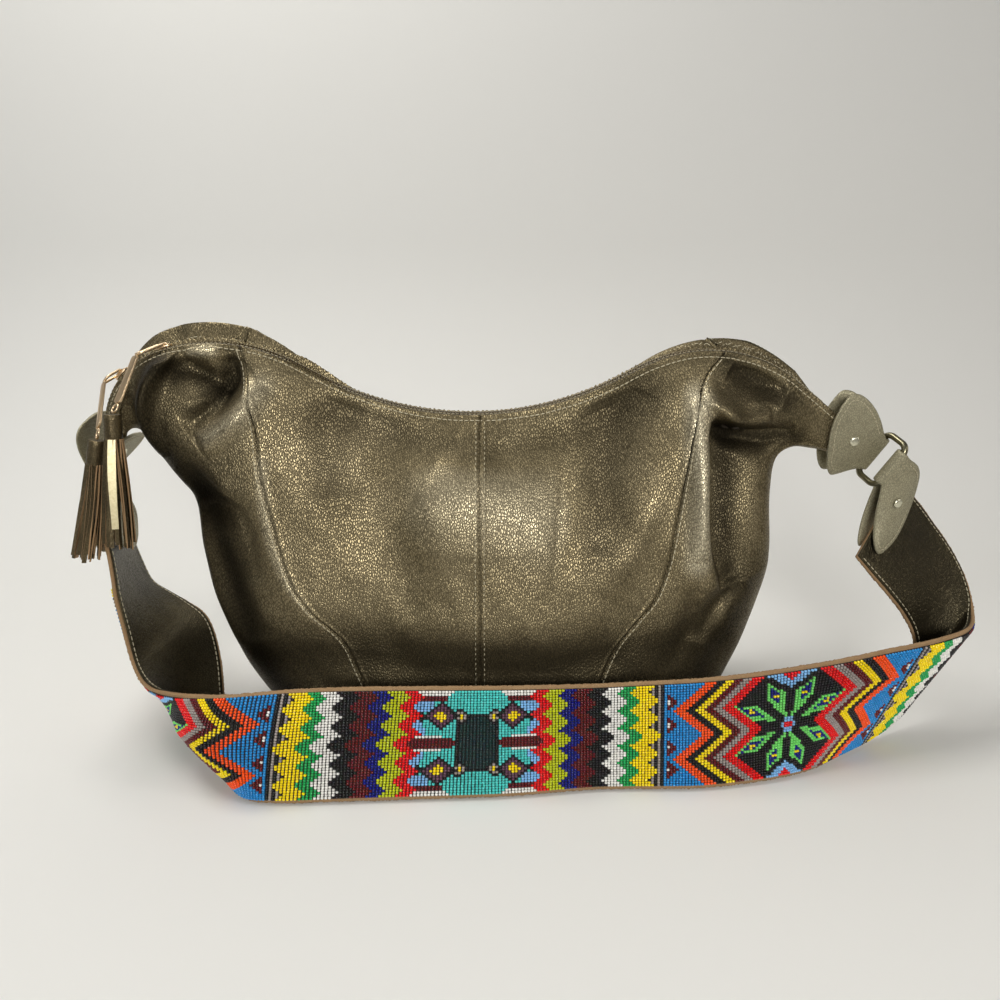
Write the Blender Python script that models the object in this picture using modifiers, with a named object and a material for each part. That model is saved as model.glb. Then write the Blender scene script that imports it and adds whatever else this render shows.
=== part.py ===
"""A slouchy leather shoulder bag with a zipped, saddle-shaped mouth and a beaded strap.

Metres, +Z up. X runs along the bag, -Y is its front, and the origin is the middle of the base.
"""
import math

import bmesh
import bpy
from mathutils import Matrix, Vector

# Leather and running clearances
LEATHER = 0.0016
GAP = 0.0003
SEAM_GAP = 0.0018

# Bag body
BASE_LEFT = 0.140
BASE_RIGHT = 0.135
HALF_DEPTH = 0.056
BODY_LEFT = 0.191
BODY_HEIGHT = 0.200
BACK_RISE = 0.027
LINING = 0.0006
LINING_INSET = 0.0040
LINING_END_INSET = 0.0140
LINING_DROP = 0.0230

# Zip line: a start, as shares of BODY_LEFT and BODY_HEIGHT, then arcs and straights that join smoothly
ZIP_START_SHARES = (1.28063, 0.915)
START_RUN = 0.0142
ZIP_START_ANGLE = math.radians(79.7)
SHOULDER_RADIUS = 0.0534
SHOULDER_ANGLE = math.radians(60.2)
HUMP_RADIUS = 0.1016
HUMP_ANGLE = math.radians(47.7)
HUMP_RUN = 0.0161
SADDLE_RADIUS = 0.1975
SADDLE_ANGLE = math.radians(55.2)
SADDLE_RUN = 0.0170
PEAK_RADIUS = 0.0875
PEAK_ANGLE = math.radians(64.4)
END_RUN = 0.0410

# Zip section, measured from its centre line
RIM_OFFSET = 0.0058
TEETH_INNER = 0.0007
TEETH_OUTER = 0.0027
TEETH_HEIGHT = 0.0024
TAPE = 0.0006
TAPE_DROP = 0.0080
STOP_LENGTH = 0.0035
ZIP_END_MARGIN = 0.0195

# Sliders and their pulls
SLIDER_LENGTH = 0.0100
SLIDER_TOP_WIDTH = 0.0070
SLIDER_FOOT_WIDTH = 0.0046
SLIDER_PLATE = 0.0011
SLIDER_WEB = 0.0008
SLIDER_CLEARANCE = 0.0006
SLIDER_A_ANGLE = math.radians(3.0)
SLIDER_B_ANGLE = math.radians(33.0)
LINK_WIDTH = 0.0064
LINK_WIRE = 0.0008
BAR_WIDTH = 0.0065
BAR_THICKNESS = 0.0016
JUMP_RING_RADIUS = 0.0026
JUMP_RING_WIRE = 0.0006
HEAD_LENGTH = 0.0150
HEAD_RADIUS = 0.0048
FRINGE_TOP_RADIUS = 0.0050
FRINGE_RADIUS = 0.0082
CHAIN_GAP = 0.0004
BAR_GAP = 0.0011
HEAD_GAP = 0.0006

# Tabs, rings and rivets
TAB_LEATHER = 0.0018
TAB_WIDTH = 0.052
RING_LONG = 0.034
RING_SHORT = 0.022
RING_WIRE = 0.0020
RING_CORNER = 0.0055
LOOP_CLEARANCE = 0.0007
RIVET_RADIUS = 0.0031
RIVET_HEAD = 0.0010
RIVET_SHANK = 0.0012
RIVET_SEAT = 0.0011
RIVET_PLACE_SHARES = (0.50, 0.50)
LEFT_RIVET_SHARES = (0.54, 0.47)

# Strap: a tan core between a metallic lining and the bead weaving
STRAP_REACH = 0.306
STRAP_LINING = 0.0010
STRAP_CORE = 0.0013
BEAD_LAYER = 0.0015
STRAP_LIFT = -0.0006
STRAP_GAP = 0.0008

# Side outlines below the zip ends, as shares of the body's width and height
LEFT_SIDE_SHARES = (
    (1.235, 0.905), (1.212, 0.95), (1.17, 0.955), (1.115, 0.885), (1.05, 0.80), (1.00, 0.725),
    (0.99, 0.575), (0.962, 0.415), (0.892, 0.25), (0.818, 0.12),
)
RIGHT_SIDE_SHARES = (
    (1.20, 0.89), (1.13, 0.895), (1.05, 0.90), (0.992, 0.86),
    (0.983, 0.75), (1.00, 0.575), (0.983, 0.465), (0.931, 0.32), (0.856, 0.15),
)
# Seam outlines from the rim down, as shares of the same width and height
LEFT_SEAM_SHARES = (
    (-0.822, 1.25), (-0.760, 1.00), (-0.743, 0.835), (-0.668, 0.57), (-0.598, 0.455),
    (-0.498, 0.353), (-0.442, 0.222), (-0.340, 0.0),
)
RIGHT_SEAM_SHARES = (
    (0.805, 1.22), (0.700, 1.13), (0.657, 1.00), (0.629, 0.868), (0.579, 0.612),
    (0.536, 0.487), (0.470, 0.407), (0.406, 0.33), (0.346, 0.209), (0.259, 0.0),
)
# The right outlines' width and height, as shares of where the zip ends
RIGHT_END_SHARES = (0.8194110, 1.0184987)
MIDDLE_SEAM_SHARES = ((-0.069, 2.0), (-0.069, 0.0))
SEAM_SAMPLES = 60
SIDE_SAMPLES = 120
ZIP_SAMPLES = 240

# Rows from the rim down as shares of the rib
ROW_SHARES = (1.0, 0.97, 0.93, 0.88, 0.81, 0.72, 0.62, 0.51, 0.40, 0.29, 0.19, 0.10, 0.04, 0.0)
# Distance below the zip as a share of BODY_HEIGHT, with the half depth there as a share of HALF_DEPTH
MIDDLE_DEPTH_SHARES = (
    (0.0, 0.10), (0.03, 0.15), (0.07, 0.22), (0.12, 0.31), (0.19, 0.44), (0.28, 0.60),
    (0.38, 0.74), (0.49, 0.85), (0.60, 0.94), (0.71, 1.0),
)
HORN_DEPTH_SHARES = (
    (0.0, 0.10), (0.03, 0.27), (0.07, 0.36), (0.12, 0.42), (0.19, 0.47), (0.28, 0.54),
    (0.38, 0.64), (0.49, 0.76), (0.60, 0.88), (0.71, 0.97), (0.81, 1.0),
)
BASE_DEPTH_SHARES = ((0.0, 0.86), (0.04, 0.96), (0.10, 1.0))
# How far the back rises behind the zip: below the zip as above, then along the bag
BACK_RISE_SHARES = (
    (0.0, 0.0), (0.03, 0.70), (0.07, 1.0), (0.12, 0.95), (0.19, 0.75), (0.28, 0.4), (0.38, 0.15),
    (0.49, 0.0),
)
BACK_ALONG_SHARES = (
    (0.0, 0.0), (0.02, 0.55), (0.05, 0.9), (0.12, 1.0), (0.20, 0.9), (0.28, 0.5), (0.36, 0.25),
    (0.60, 0.2), (0.68, 0.3), (0.76, 0.5), (0.86, 0.8), (0.93, 0.8), (0.98, 0.35), (1.0, 0.0),
)
BASE_ROW_SHARES = (0.5, 1.0)
SEAM_DEPTH_SHARE = 0.2
END_POWER = 2.6
RIM_POWER = 60.0
LEFT_PINCH_SHARE = 0.05
RIGHT_PINCH_SHARE = 0.11
PINCH_SHARES = ((0.70, 0.0), (0.85, 1.0))
GUSSET_COLUMNS = 7
PANEL_COLUMNS = 8

# Strap stations from the left ring to the right ring: (top edge, bottom edge) as shares of STRAP_REACH
STRAP_SHARES = (
    ((-0.789, -0.095, 0.418), (-0.845, 0.101, 0.392)),
    ((-0.784, -0.098, 0.386), (-0.837, 0.101, 0.353)),
    ((-0.778, -0.108, 0.340), (-0.820, 0.095, 0.301)),
    ((-0.773, -0.118, 0.302), (-0.798, 0.087, 0.253)),
    ((-0.758, -0.134, 0.242), (-0.757, 0.074, 0.234)),
    ((-0.740, -0.157, 0.191), (-0.703, 0.051, 0.217)),
    ((-0.709, -0.196, 0.168), (-0.649, 0.020, 0.193)),
    ((-0.670, -0.234, 0.167), (-0.611, -0.033, 0.131)),
    ((-0.621, -0.258, 0.173), (-0.580, -0.114, 0.062)),
    ((-0.559, -0.273, 0.178), (-0.539, -0.229, 0.020)),
    ((-0.490, -0.278, 0.181), (-0.482, -0.327, 0.003)),
    ((-0.392, -0.278, 0.191), (-0.417, -0.350, 0.003)),
    ((-0.294, -0.278, 0.196), (-0.301, -0.347, 0.003)),
    ((-0.163, -0.278, 0.198), (-0.184, -0.342, 0.003)),
    ((0.000, -0.278, 0.199), (0.000, -0.333, 0.003)),
    ((0.098, -0.273, 0.198), (0.098, -0.322, 0.003)),
    ((0.187, -0.265, 0.196), (0.187, -0.312, 0.003)),
    ((0.294, -0.261, 0.200), (0.294, -0.311, 0.003)),
    ((0.380, -0.257, 0.203), (0.380, -0.309, 0.003)),
    ((0.477, -0.248, 0.209), (0.484, -0.292, 0.003)),
    ((0.572, -0.235, 0.217), (0.556, -0.273, 0.003)),
    ((0.657, -0.222, 0.225), (0.614, -0.250, 0.003)),
    ((0.745, -0.203, 0.234), (0.667, -0.217, 0.003)),
    ((0.822, -0.186, 0.240), (0.725, -0.183, 0.004)),
    ((0.884, -0.167, 0.245), (0.784, -0.150, 0.013)),
    ((0.935, -0.141, 0.246), (0.837, -0.121, 0.036)),
    ((0.969, -0.105, 0.245), (0.868, -0.098, 0.072)),
    ((0.992, -0.065, 0.253), (0.879, -0.085, 0.121)),
    ((1.000, -0.033, 0.278), (0.876, -0.078, 0.170)),
    ((0.993, 0.000, 0.319), (0.863, -0.074, 0.212)),
    ((0.967, 0.016, 0.366), (0.837, -0.070, 0.252)),
    ((0.928, 0.020, 0.415), (0.804, -0.066, 0.291)),
    ((0.882, 0.014, 0.467), (0.771, -0.060, 0.327)),
    ((0.832, 0.004, 0.516), (0.737, -0.050, 0.366)),
)
# How far along the strap its two ends, held in their tabs, carry it with them
LEFT_CARRY_SHARES = ((0.0, 1.0), (0.10, 1.0), (0.30, 0.0))
RIGHT_CARRY_SHARES = ((0.70, 0.0), (0.90, 1.0), (1.0, 1.0))
STRAP_CELLS = 4
# How far the strap bows out between its edges, as shares of STRAP_BOW along the strap
STRAP_BOW = 0.016
BOW_SHARES = (
    (0.14, 0.0), (0.17, 0.15), (0.20, 0.5), (0.23, 0.85), (0.26, 1.0), (0.29, 0.85), (0.32, 0.5),
    (0.35, 0.15), (0.38, 0.0),
)
BOW_STEP_SHARE = 0.01
STRAP_STATIONS = 66
BEAD_FIRST_STATION = 5
BEAD_LAST_STATION = 60
BEAD_EDGE_SHARE = 0.03
LINING_EDGE_SHARE = 0.025

# Colours of the finishes: (red, green, blue), metallic, roughness
FINISHES = {
    "body_leather": ((0.17, 0.14, 0.085), 0.75, 0.42),
    "tab_leather": ((0.16, 0.16, 0.115), 0.1, 0.7),
    "lining_cloth": ((0.05, 0.04, 0.03), 0.0, 0.9),
    "zip_tape": ((0.02, 0.015, 0.01), 0.0, 0.9),
    "zip_metal": ((0.70, 0.55, 0.35), 1.0, 0.3),
    "pull_metal": ((0.85, 0.62, 0.42), 1.0, 0.25),
    "ring_metal": ((0.32, 0.28, 0.18), 1.0, 0.35),
    "rivet_metal": ((0.75, 0.72, 0.55), 0.9, 0.4),
    "tassel_leather": ((0.10, 0.08, 0.04), 0.5, 0.5),
    "strap_leather": ((0.03, 0.025, 0.015), 0.5, 0.5),
    "tan_leather": ((0.38, 0.22, 0.10), 0.0, 0.8),
    "beads": ((0.05, 0.35, 0.45), 0.0, 0.2),
}


def clear_scene():
    for item in list(bpy.data.objects):
        bpy.data.objects.remove(item, do_unlink=True)
    parts = bpy.data.collections.new("leather_hobo_bag")
    cutters = bpy.data.collections.new("cutters")
    for collection in (parts, cutters):
        bpy.context.scene.collection.children.link(collection)
    return parts, cutters


def finish_named(name):
    material = bpy.data.materials.get(name)
    if material is None:
        colour, metallic, roughness = FINISHES[name]
        material = bpy.data.materials.new(name)
        material.use_nodes = True
        shader = material.node_tree.nodes["Principled BSDF"]
        shader.inputs["Base Color"].default_value = (*colour, 1.0)
        shader.inputs["Metallic"].default_value = metallic
        shader.inputs["Roughness"].default_value = roughness
    return material


def add_object(name, mesh, finish):
    item = bpy.data.objects.new(name, mesh)
    PARTS.objects.link(item)
    mesh.materials.clear()
    mesh.materials.append(finish_named(finish))
    mesh.shade_smooth()
    mesh.set_sharp_from_angle(angle=math.radians(40))
    return item


def mesh_from(name, shape):
    mesh = bpy.data.meshes.new(name)
    shape.to_mesh(mesh)
    shape.free()
    return mesh


def thicken(item, thickness, offset):
    wall = item.modifiers.new("wall", "SOLIDIFY")
    wall.thickness = thickness
    wall.offset = offset
    return wall


def between(table, place):
    """The value at a place in a table of (place, value) pairs whose places rise."""
    if place <= table[0][0]:
        return table[0][1]
    for (low, first), (high, last) in zip(table, table[1:]):
        if place <= high:
            return first + (last - first) * (place - low) / (high - low)
    return table[-1][1]


def curve_through(points, share):
    """A smooth point on a curve through the points, at a share of its count of spans."""
    spans = len(points) - 1
    place = min(max(share, 0.0), 1.0) * spans
    index = min(int(place), spans - 1)
    t = place - index
    p0 = points[max(index - 1, 0)]
    p1 = points[index]
    p2 = points[index + 1]
    p3 = points[min(index + 2, spans)]
    return (
        p1
        + (p2 - p0) * (t / 2)
        + (2 * p0 - 5 * p1 + 4 * p2 - p3) * (t * t / 2)
        + (3 * p1 - p0 - 3 * p2 + p3) * (t ** 3 / 2)
    )


def grid_shape(rows, flip, closed=False):
    """An open surface through rows of points, each row running the same way."""
    shape = bmesh.new()
    verts = [[shape.verts.new(point) for point in row] for row in rows]
    for upper, lower in zip(verts, verts[1:]):
        count = len(upper)
        for i in range(count if closed else count - 1):
            j = (i + 1) % count
            ring = [upper[i], upper[j], lower[j], lower[i]]
            shape.faces.new(ring[::-1] if flip else ring)
    bmesh.ops.remove_doubles(shape, verts=shape.verts[:], dist=GAP / 20)
    shape.normal_update()
    return shape


def shift_along_normals(shape, distance):
    shape.normal_update()
    moves = [(v, v.normal.copy()) for v in shape.verts]
    for vert, normal in moves:
        vert.co += normal * distance
    shape.normal_update()


ZIP_RUNS = (
    (None, START_RUN),
    (SHOULDER_RADIUS, -SHOULDER_ANGLE),
    (HUMP_RADIUS, -HUMP_ANGLE),
    (None, HUMP_RUN),
    (SADDLE_RADIUS, SADDLE_ANGLE),
    (None, SADDLE_RUN),
    (PEAK_RADIUS, -PEAK_ANGLE),
    (None, END_RUN),
)


def run_length(run):
    radius, size = run
    return size if radius is None else radius * abs(size)


ZIP_LENGTH = sum(run_length(run) for run in ZIP_RUNS)


def zip_frame(distance):
    """The point, heading and arc centre of the zip line at a distance from its left end."""
    x = -BODY_LEFT * ZIP_START_SHARES[0]
    z = BODY_HEIGHT * ZIP_START_SHARES[1]
    heading = ZIP_START_ANGLE
    for run in ZIP_RUNS:
        radius, size = run
        length = run_length(run)
        part = min(max(distance, 0.0), length)
        if radius is None:
            centre = None
            x += part * math.cos(heading)
            z += part * math.sin(heading)
        else:
            side = math.copysign(1.0, size)
            centre = Vector((x - side * radius * math.sin(heading), 0, z + side * radius * math.cos(heading)))
            heading += side * part / radius
            x = centre.x + side * radius * math.sin(heading)
            z = centre.z - side * radius * math.cos(heading)
        if distance <= length:
            break
        distance -= length
    return Vector((x, 0, z)), heading, centre


def zip_axes(distance):
    point, heading, centre = zip_frame(distance)
    along = Vector((math.cos(heading), 0, math.sin(heading)))
    outward = Vector((-math.sin(heading), 0, math.cos(heading)))
    return point, along, outward, centre


LEFT_END = zip_frame(0.0)[0]
RIGHT_END = zip_frame(ZIP_LENGTH)[0]
BODY_RIGHT = RIGHT_END.x * RIGHT_END_SHARES[0]
RIGHT_HEIGHT = RIGHT_END.z * RIGHT_END_SHARES[1]


def side_points(shares, width, height, end, corner):
    middle = [Vector((width * x, 0, height * z)) for x, z in shares]
    return [end, *middle, corner]


LEFT_SIDE = side_points(
    LEFT_SIDE_SHARES, -BODY_LEFT, BODY_HEIGHT, LEFT_END, Vector((-BASE_LEFT, 0, 0))
)
RIGHT_SIDE = side_points(
    RIGHT_SIDE_SHARES, BODY_RIGHT, RIGHT_HEIGHT, RIGHT_END, Vector((BASE_RIGHT, 0, 0))
)


def length_table(points):
    """(share of the length, point) pairs along the smooth curve through the points."""
    curve = [curve_through(points, i / SIDE_SAMPLES) for i in range(SIDE_SAMPLES + 1)]
    lengths = [0.0]
    for first, last in zip(curve, curve[1:]):
        lengths.append(lengths[-1] + (last - first).length)
    return [(length / lengths[-1], point) for length, point in zip(lengths, curve)]


LEFT_TABLE = length_table(LEFT_SIDE)
RIGHT_TABLE = length_table(RIGHT_SIDE)


def flat_point(across, up):
    """The bag's outline plane: across 0 to 1 from left to right, up 0 to 1 from base to zip."""
    bottom = Vector((-BASE_LEFT + (BASE_LEFT + BASE_RIGHT) * across, 0, 0))
    top = zip_frame(ZIP_LENGTH * across)[0]
    left = between(LEFT_TABLE, 1 - up)
    right = between(RIGHT_TABLE, 1 - up)
    corners = (LEFT_SIDE[-1] * (1 - up) + LEFT_SIDE[0] * up) * (1 - across)
    corners += (RIGHT_SIDE[-1] * (1 - up) + RIGHT_SIDE[0] * up) * across
    return bottom * (1 - up) + top * up + left * (1 - across) + right * across - corners


ZIP_POINTS = [zip_frame(ZIP_LENGTH * i / ZIP_SAMPLES)[0] for i in range(ZIP_SAMPLES + 1)]


def drop_share(point):
    """How far a point of the outline plane lies from the zip, as a share of BODY_HEIGHT."""
    return min((point - place).length for place in ZIP_POINTS) / BODY_HEIGHT


def half_depth(across, up):
    edge = abs(2 * across - 1)
    horn = edge ** 2
    drop = drop_share(flat_point(across, up))
    share = between(MIDDLE_DEPTH_SHARES, drop) * (1 - horn) + between(HORN_DEPTH_SHARES, drop) * horn
    share *= between(BASE_DEPTH_SHARES, up)
    rim = RIM_OFFSET * max(1 - edge ** RIM_POWER, 0.0)
    swell = max(1 - edge ** END_POWER, 0.0) ** (1 / END_POWER)
    near_end = min(across / LEFT_PINCH_SHARE, (1 - across) / RIGHT_PINCH_SHARE, 1.0)
    pinch = 1 - between(PINCH_SHARES, up) * (1 - near_end)
    return rim + max(share * HALF_DEPTH - RIM_OFFSET, 0.0) * swell * pinch


def surface_point(across, up, side):
    """A point of the leather's outer face: side -1 is the front, +1 the back."""
    point = flat_point(across, up)
    point.y = side * half_depth(across, up)
    if side > 0:
        drop = drop_share(flat_point(across, up))
        point.z += BACK_RISE * between(BACK_ALONG_SHARES, across) * between(BACK_RISE_SHARES, drop)
    return point


def seam_across(shares, width, height, up):
    """Where a seam crosses the row at this height, found by halving."""
    points = [Vector((width * x, 0, height * z)) for x, z in shares[::-1]]
    curve = [curve_through(points, i / SEAM_SAMPLES) for i in range(SEAM_SAMPLES + 1)]
    table = [(point.z, point.x) for point in curve]
    low, high = 0.0, 1.0
    for _ in range(24):
        middle = (low + high) / 2
        point = flat_point(middle, up)
        if point.x < between(table, point.z):
            low = middle
        else:
            high = middle
    return (low + high) / 2


def row_seams(up):
    return (
        seam_across(LEFT_SEAM_SHARES, BODY_LEFT, BODY_HEIGHT, up),
        seam_across(MIDDLE_SEAM_SHARES, BODY_RIGHT, RIGHT_HEIGHT, up),
        seam_across(RIGHT_SEAM_SHARES, BODY_RIGHT, RIGHT_HEIGHT, up),
    )


SEAMS = {up: row_seams(up) for up in ROW_SHARES}
SEAM_SHARE = SEAM_GAP / 2 / (BODY_LEFT + BODY_RIGHT)


def panel_columns(kind, up):
    """(across, side) pairs of one panel's row, in order round the bag."""
    left, middle, right = SEAMS[up]
    spans = {
        "left_gusset": (left, 0.0),
        "right_gusset": (right, 1.0),
        "left_panel": (left, middle),
        "right_panel": (middle, right),
    }
    start, end = spans[kind]
    if kind.endswith("gusset"):
        start += math.copysign(SEAM_SHARE, end - start)
        shares = [math.sin(math.pi / 2 * i / GUSSET_COLUMNS) for i in range(GUSSET_COLUMNS + 1)]
        front = [(start + (end - start) * share, -1) for share in shares]
        return front + [(across, 1) for across, _ in front[-2::-1]]
    start += SEAM_SHARE
    end -= SEAM_SHARE
    return [(start + (end - start) * i / PANEL_COLUMNS, 0) for i in range(PANEL_COLUMNS + 1)]


def panel_rows(kind, side):
    rows = []
    for up in ROW_SHARES:
        columns = panel_columns(kind, up)
        rows.append([surface_point(across, up, side or own) for across, own in columns])
    base = rows[-1]
    columns = panel_columns(kind, ROW_SHARES[-1])
    for share in BASE_ROW_SHARES:
        row = []
        for point, (across, own) in zip(base, columns):
            target = half_depth(across, 0.0) * SEAM_DEPTH_SHARE
            if side:
                target += side * SEAM_GAP / 2
            row.append(Vector((point.x, point.y + (target - point.y) * share, point.z)))
        rows.append(row)
    return rows


def make_panels():
    for kind in ("left_panel", "right_panel"):
        for side, word in ((-1, "front"), (1, "back")):
            shape = grid_shape(panel_rows(kind, side), side < 0)
            item = add_object(f"{word}_{kind}", mesh_from(word + kind, shape), "body_leather")
            thicken(item, LEATHER, -1.0)
    for kind in ("left_gusset", "right_gusset"):
        shape = grid_shape(panel_rows(kind, 0), kind == "right_gusset")
        item = add_object(kind, mesh_from(kind, shape), "body_leather")
        thicken(item, LEATHER, -1.0)


def ring_columns(up):
    """(across, side) pairs once round the bag, along the front and back again."""
    left, middle, right = SEAMS[up]
    ease = [1 - math.sin(math.pi / 2 * i / GUSSET_COLUMNS) for i in range(GUSSET_COLUMNS, -1, -1)]
    first = [left * share for share in ease]
    second = [left + (middle - left) * i / PANEL_COLUMNS for i in range(1, PANEL_COLUMNS + 1)]
    third = [middle + (right - middle) * i / PANEL_COLUMNS for i in range(1, PANEL_COLUMNS)]
    fourth = [1 - (1 - right) * share for share in ease[::-1]]
    front = first + second + third + fourth
    return [(across, -1) for across in front] + [(across, 1) for across in front[-2:0:-1]]


def lining_top(across):
    """The highest place up a rib that is far enough below the zip for the lining, found by halving."""
    low, high = 0.5, 1.0
    for _ in range(12):
        middle = (low + high) / 2
        if drop_share(flat_point(across, middle)) * BODY_HEIGHT > LINING_DROP:
            low = middle
        else:
            high = middle
    return low


def lining_row(up):
    """One row of the lining, held a little inside the leather all round."""
    width = flat_point(1.0, up).x - flat_point(0.0, up).x
    low = LINING_END_INSET / width
    row = []
    for across, side in ring_columns(up):
        across = min(max(across, low), 1 - low)
        point = surface_point(across, up * lining_top(across), side)
        point.y -= side * LINING_INSET
        row.append(point)
    return row


def make_lining():
    """A cloth pouch a little inside the leather, open at the zip tapes."""
    rows = [lining_row(up) for up in ROW_SHARES]
    base = rows[-1]
    for point in base:
        point.z += LINING_INSET
    for share in BASE_ROW_SHARES:
        rows.append([Vector((point.x, point.y * (1 - share), point.z)) for point in base])
    shape = grid_shape(rows, True, closed=True)
    item = add_object("lining", mesh_from("lining", shape), "lining_cloth")
    thicken(item, LINING, -1.0)


def sweep(name, outline, start, end, count, finish):
    """A closed outline of (y, out) pairs carried along the zip line."""
    shape = bmesh.new()
    rings = []
    for i in range(count + 1):
        point, _, outward, _ = zip_axes(start + (end - start) * i / count)
        ring = [shape.verts.new(point + outward * out + Vector((0, y, 0))) for y, out in outline]
        rings.append(ring)
    for first, last in zip(rings, rings[1:]):
        for i in range(len(outline)):
            j = (i + 1) % len(outline)
            shape.faces.new((first[i], first[j], last[j], last[i]))
    shape.faces.new(rings[0][::-1])
    shape.faces.new(rings[-1])
    bmesh.ops.recalc_face_normals(shape, faces=shape.faces[:])
    return add_object(name, mesh_from(name, shape), finish)


def make_zip_tapes():
    """Each tape hangs just inside the leather's rim, beside its row of teeth."""
    for side, word in ((-1, "front"), (1, "back")):
        inner = side * (TEETH_OUTER + GAP)
        outer = side * (TEETH_OUTER + GAP + TAPE)
        outline = ((inner, 0), (outer, 0), (outer, -TAPE_DROP), (inner, -TAPE_DROP))
        sweep(f"{word}_zip_tape", outline, ZIP_END_MARGIN, ZIP_LENGTH - ZIP_END_MARGIN, 44, "zip_tape")


def make_zip_teeth():
    half = TEETH_HEIGHT / 2
    start = ZIP_END_MARGIN + STOP_LENGTH + GAP
    end = ZIP_LENGTH - start
    for side, word in ((-1, "front"), (1, "back")):
        inner = side * TEETH_INNER
        outer = side * TEETH_OUTER
        outline = ((inner, -half), (outer, -half), (outer, half), (inner, half))
        sweep(f"{word}_zip_teeth", outline, start, end, 44, "zip_metal")
    outline = (
        (-TEETH_OUTER, -half), (TEETH_OUTER, -half), (TEETH_OUTER, half), (-TEETH_OUTER, half)
    )
    sweep("left_zip_stop", outline, ZIP_END_MARGIN, ZIP_END_MARGIN + STOP_LENGTH, 1, "zip_metal")
    sweep("right_zip_stop", outline, end + GAP, end + GAP + STOP_LENGTH, 1, "zip_metal")


def make_slider(name, middle):
    """Two plates round the teeth, joined by a web that runs between the rows."""
    low = TEETH_HEIGHT / 2 + SLIDER_CLEARANCE
    high = low + SLIDER_PLATE
    web = SLIDER_WEB / 2
    top = SLIDER_TOP_WIDTH / 2
    foot = SLIDER_FOOT_WIDTH / 2
    outline = (
        (-web, -low), (-foot, -low), (-foot, -high), (foot, -high), (foot, -low), (web, -low),
        (web, low), (top, low), (top, high), (-top, high), (-top, low), (-web, low),
    )
    half = SLIDER_LENGTH / 2
    sweep(name, outline, middle - half, middle + half, 3, "pull_metal")
    point, along, outward, centre = zip_axes(middle)
    return point + outward * (high + LINK_WIRE + CHAIN_GAP), along, centre


def wire_object(name, points, radius, finish, detail, cyclic):
    data = bpy.data.curves.new(name, "CURVE")
    data.dimensions = "3D"
    data.bevel_depth = radius
    data.bevel_resolution = detail
    data.use_fill_caps = True
    spline = data.splines.new("POLY")
    spline.points.add(len(points) - 1)
    for place, point in zip(spline.points, points):
        place.co = (*point, 1.0)
    spline.use_cyclic_u = cyclic
    data.materials.append(finish_named(finish))
    item = bpy.data.objects.new(name, data)
    PARTS.objects.link(item)
    return item


def rounded_loop(centre, long_way, short_way, length, width, corner, steps):
    """Points round a rectangle with round corners."""
    points = []
    for quarter in range(4):
        sign_long = 1 if quarter in (0, 3) else -1
        sign_short = 1 if quarter in (0, 1) else -1
        middle = centre + long_way * sign_long * (length / 2 - corner)
        middle = middle + short_way * sign_short * (width / 2 - corner)
        for i in range(steps + 1):
            angle = math.pi / 2 * (quarter + i / steps)
            points.append(middle + (long_way * math.cos(angle) + short_way * math.sin(angle)) * corner)
    return points


def box_between(name, start, end, across, width, thickness, finish):
    """A flat bar from start to end."""
    along = (end - start).normalized()
    normal = along.cross(across).normalized()
    across = normal.cross(along)
    shape = bmesh.new()
    bmesh.ops.create_cube(shape, size=1.0)
    bmesh.ops.scale(shape, verts=shape.verts[:], vec=(width, thickness, (end - start).length))
    turn = Matrix((across, normal, along)).transposed().to_4x4()
    turn.translation = (start + end) / 2
    bmesh.ops.transform(shape, matrix=turn, verts=shape.verts[:])
    bmesh.ops.recalc_face_normals(shape, faces=shape.faces[:])
    return add_object(name, mesh_from(name, shape), finish)


def cone_between(name, start, end, first, last, segments, finish):
    shape = bmesh.new()
    length = (end - start).length
    bmesh.ops.create_cone(
        shape, cap_ends=True, segments=segments, radius1=first, radius2=last, depth=length
    )
    turn = (end - start).to_track_quat("Z", "Y").to_matrix().to_4x4()
    turn.translation = (start + end) / 2
    bmesh.ops.transform(shape, matrix=turn, verts=shape.verts[:])
    return add_object(name, mesh_from(name, shape), finish)


# Pull chains: where each link, bar and tassel ends, as shares of CHAIN_REACH from the slider
CHAIN_REACH = 0.100
CHAIN_A_SHARES = (
    (-0.09, -0.16, -0.045), (-0.15, -0.34, -0.30), (-0.175, -0.40, -0.385), (-0.20, -0.46, -1.13),
)
CHAIN_B_SHARES = (
    (-0.04, -0.13, -0.040), (-0.03, -0.29, -0.29), (-0.03, -0.33, -0.375), (-0.16, -0.41, -1.05),
)


def hang_on(name, place, words):
    """An empty at a joint, with the pieces that turn about it as its children."""
    empty = bpy.data.objects.new(name, None)
    empty.location = place
    empty.empty_display_size = RING_LONG
    PARTS.objects.link(empty)
    for word in words:
        item = bpy.data.objects[word]
        item.parent = empty
        item.matrix_parent_inverse = Matrix.Translation(-Vector(place))


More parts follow.
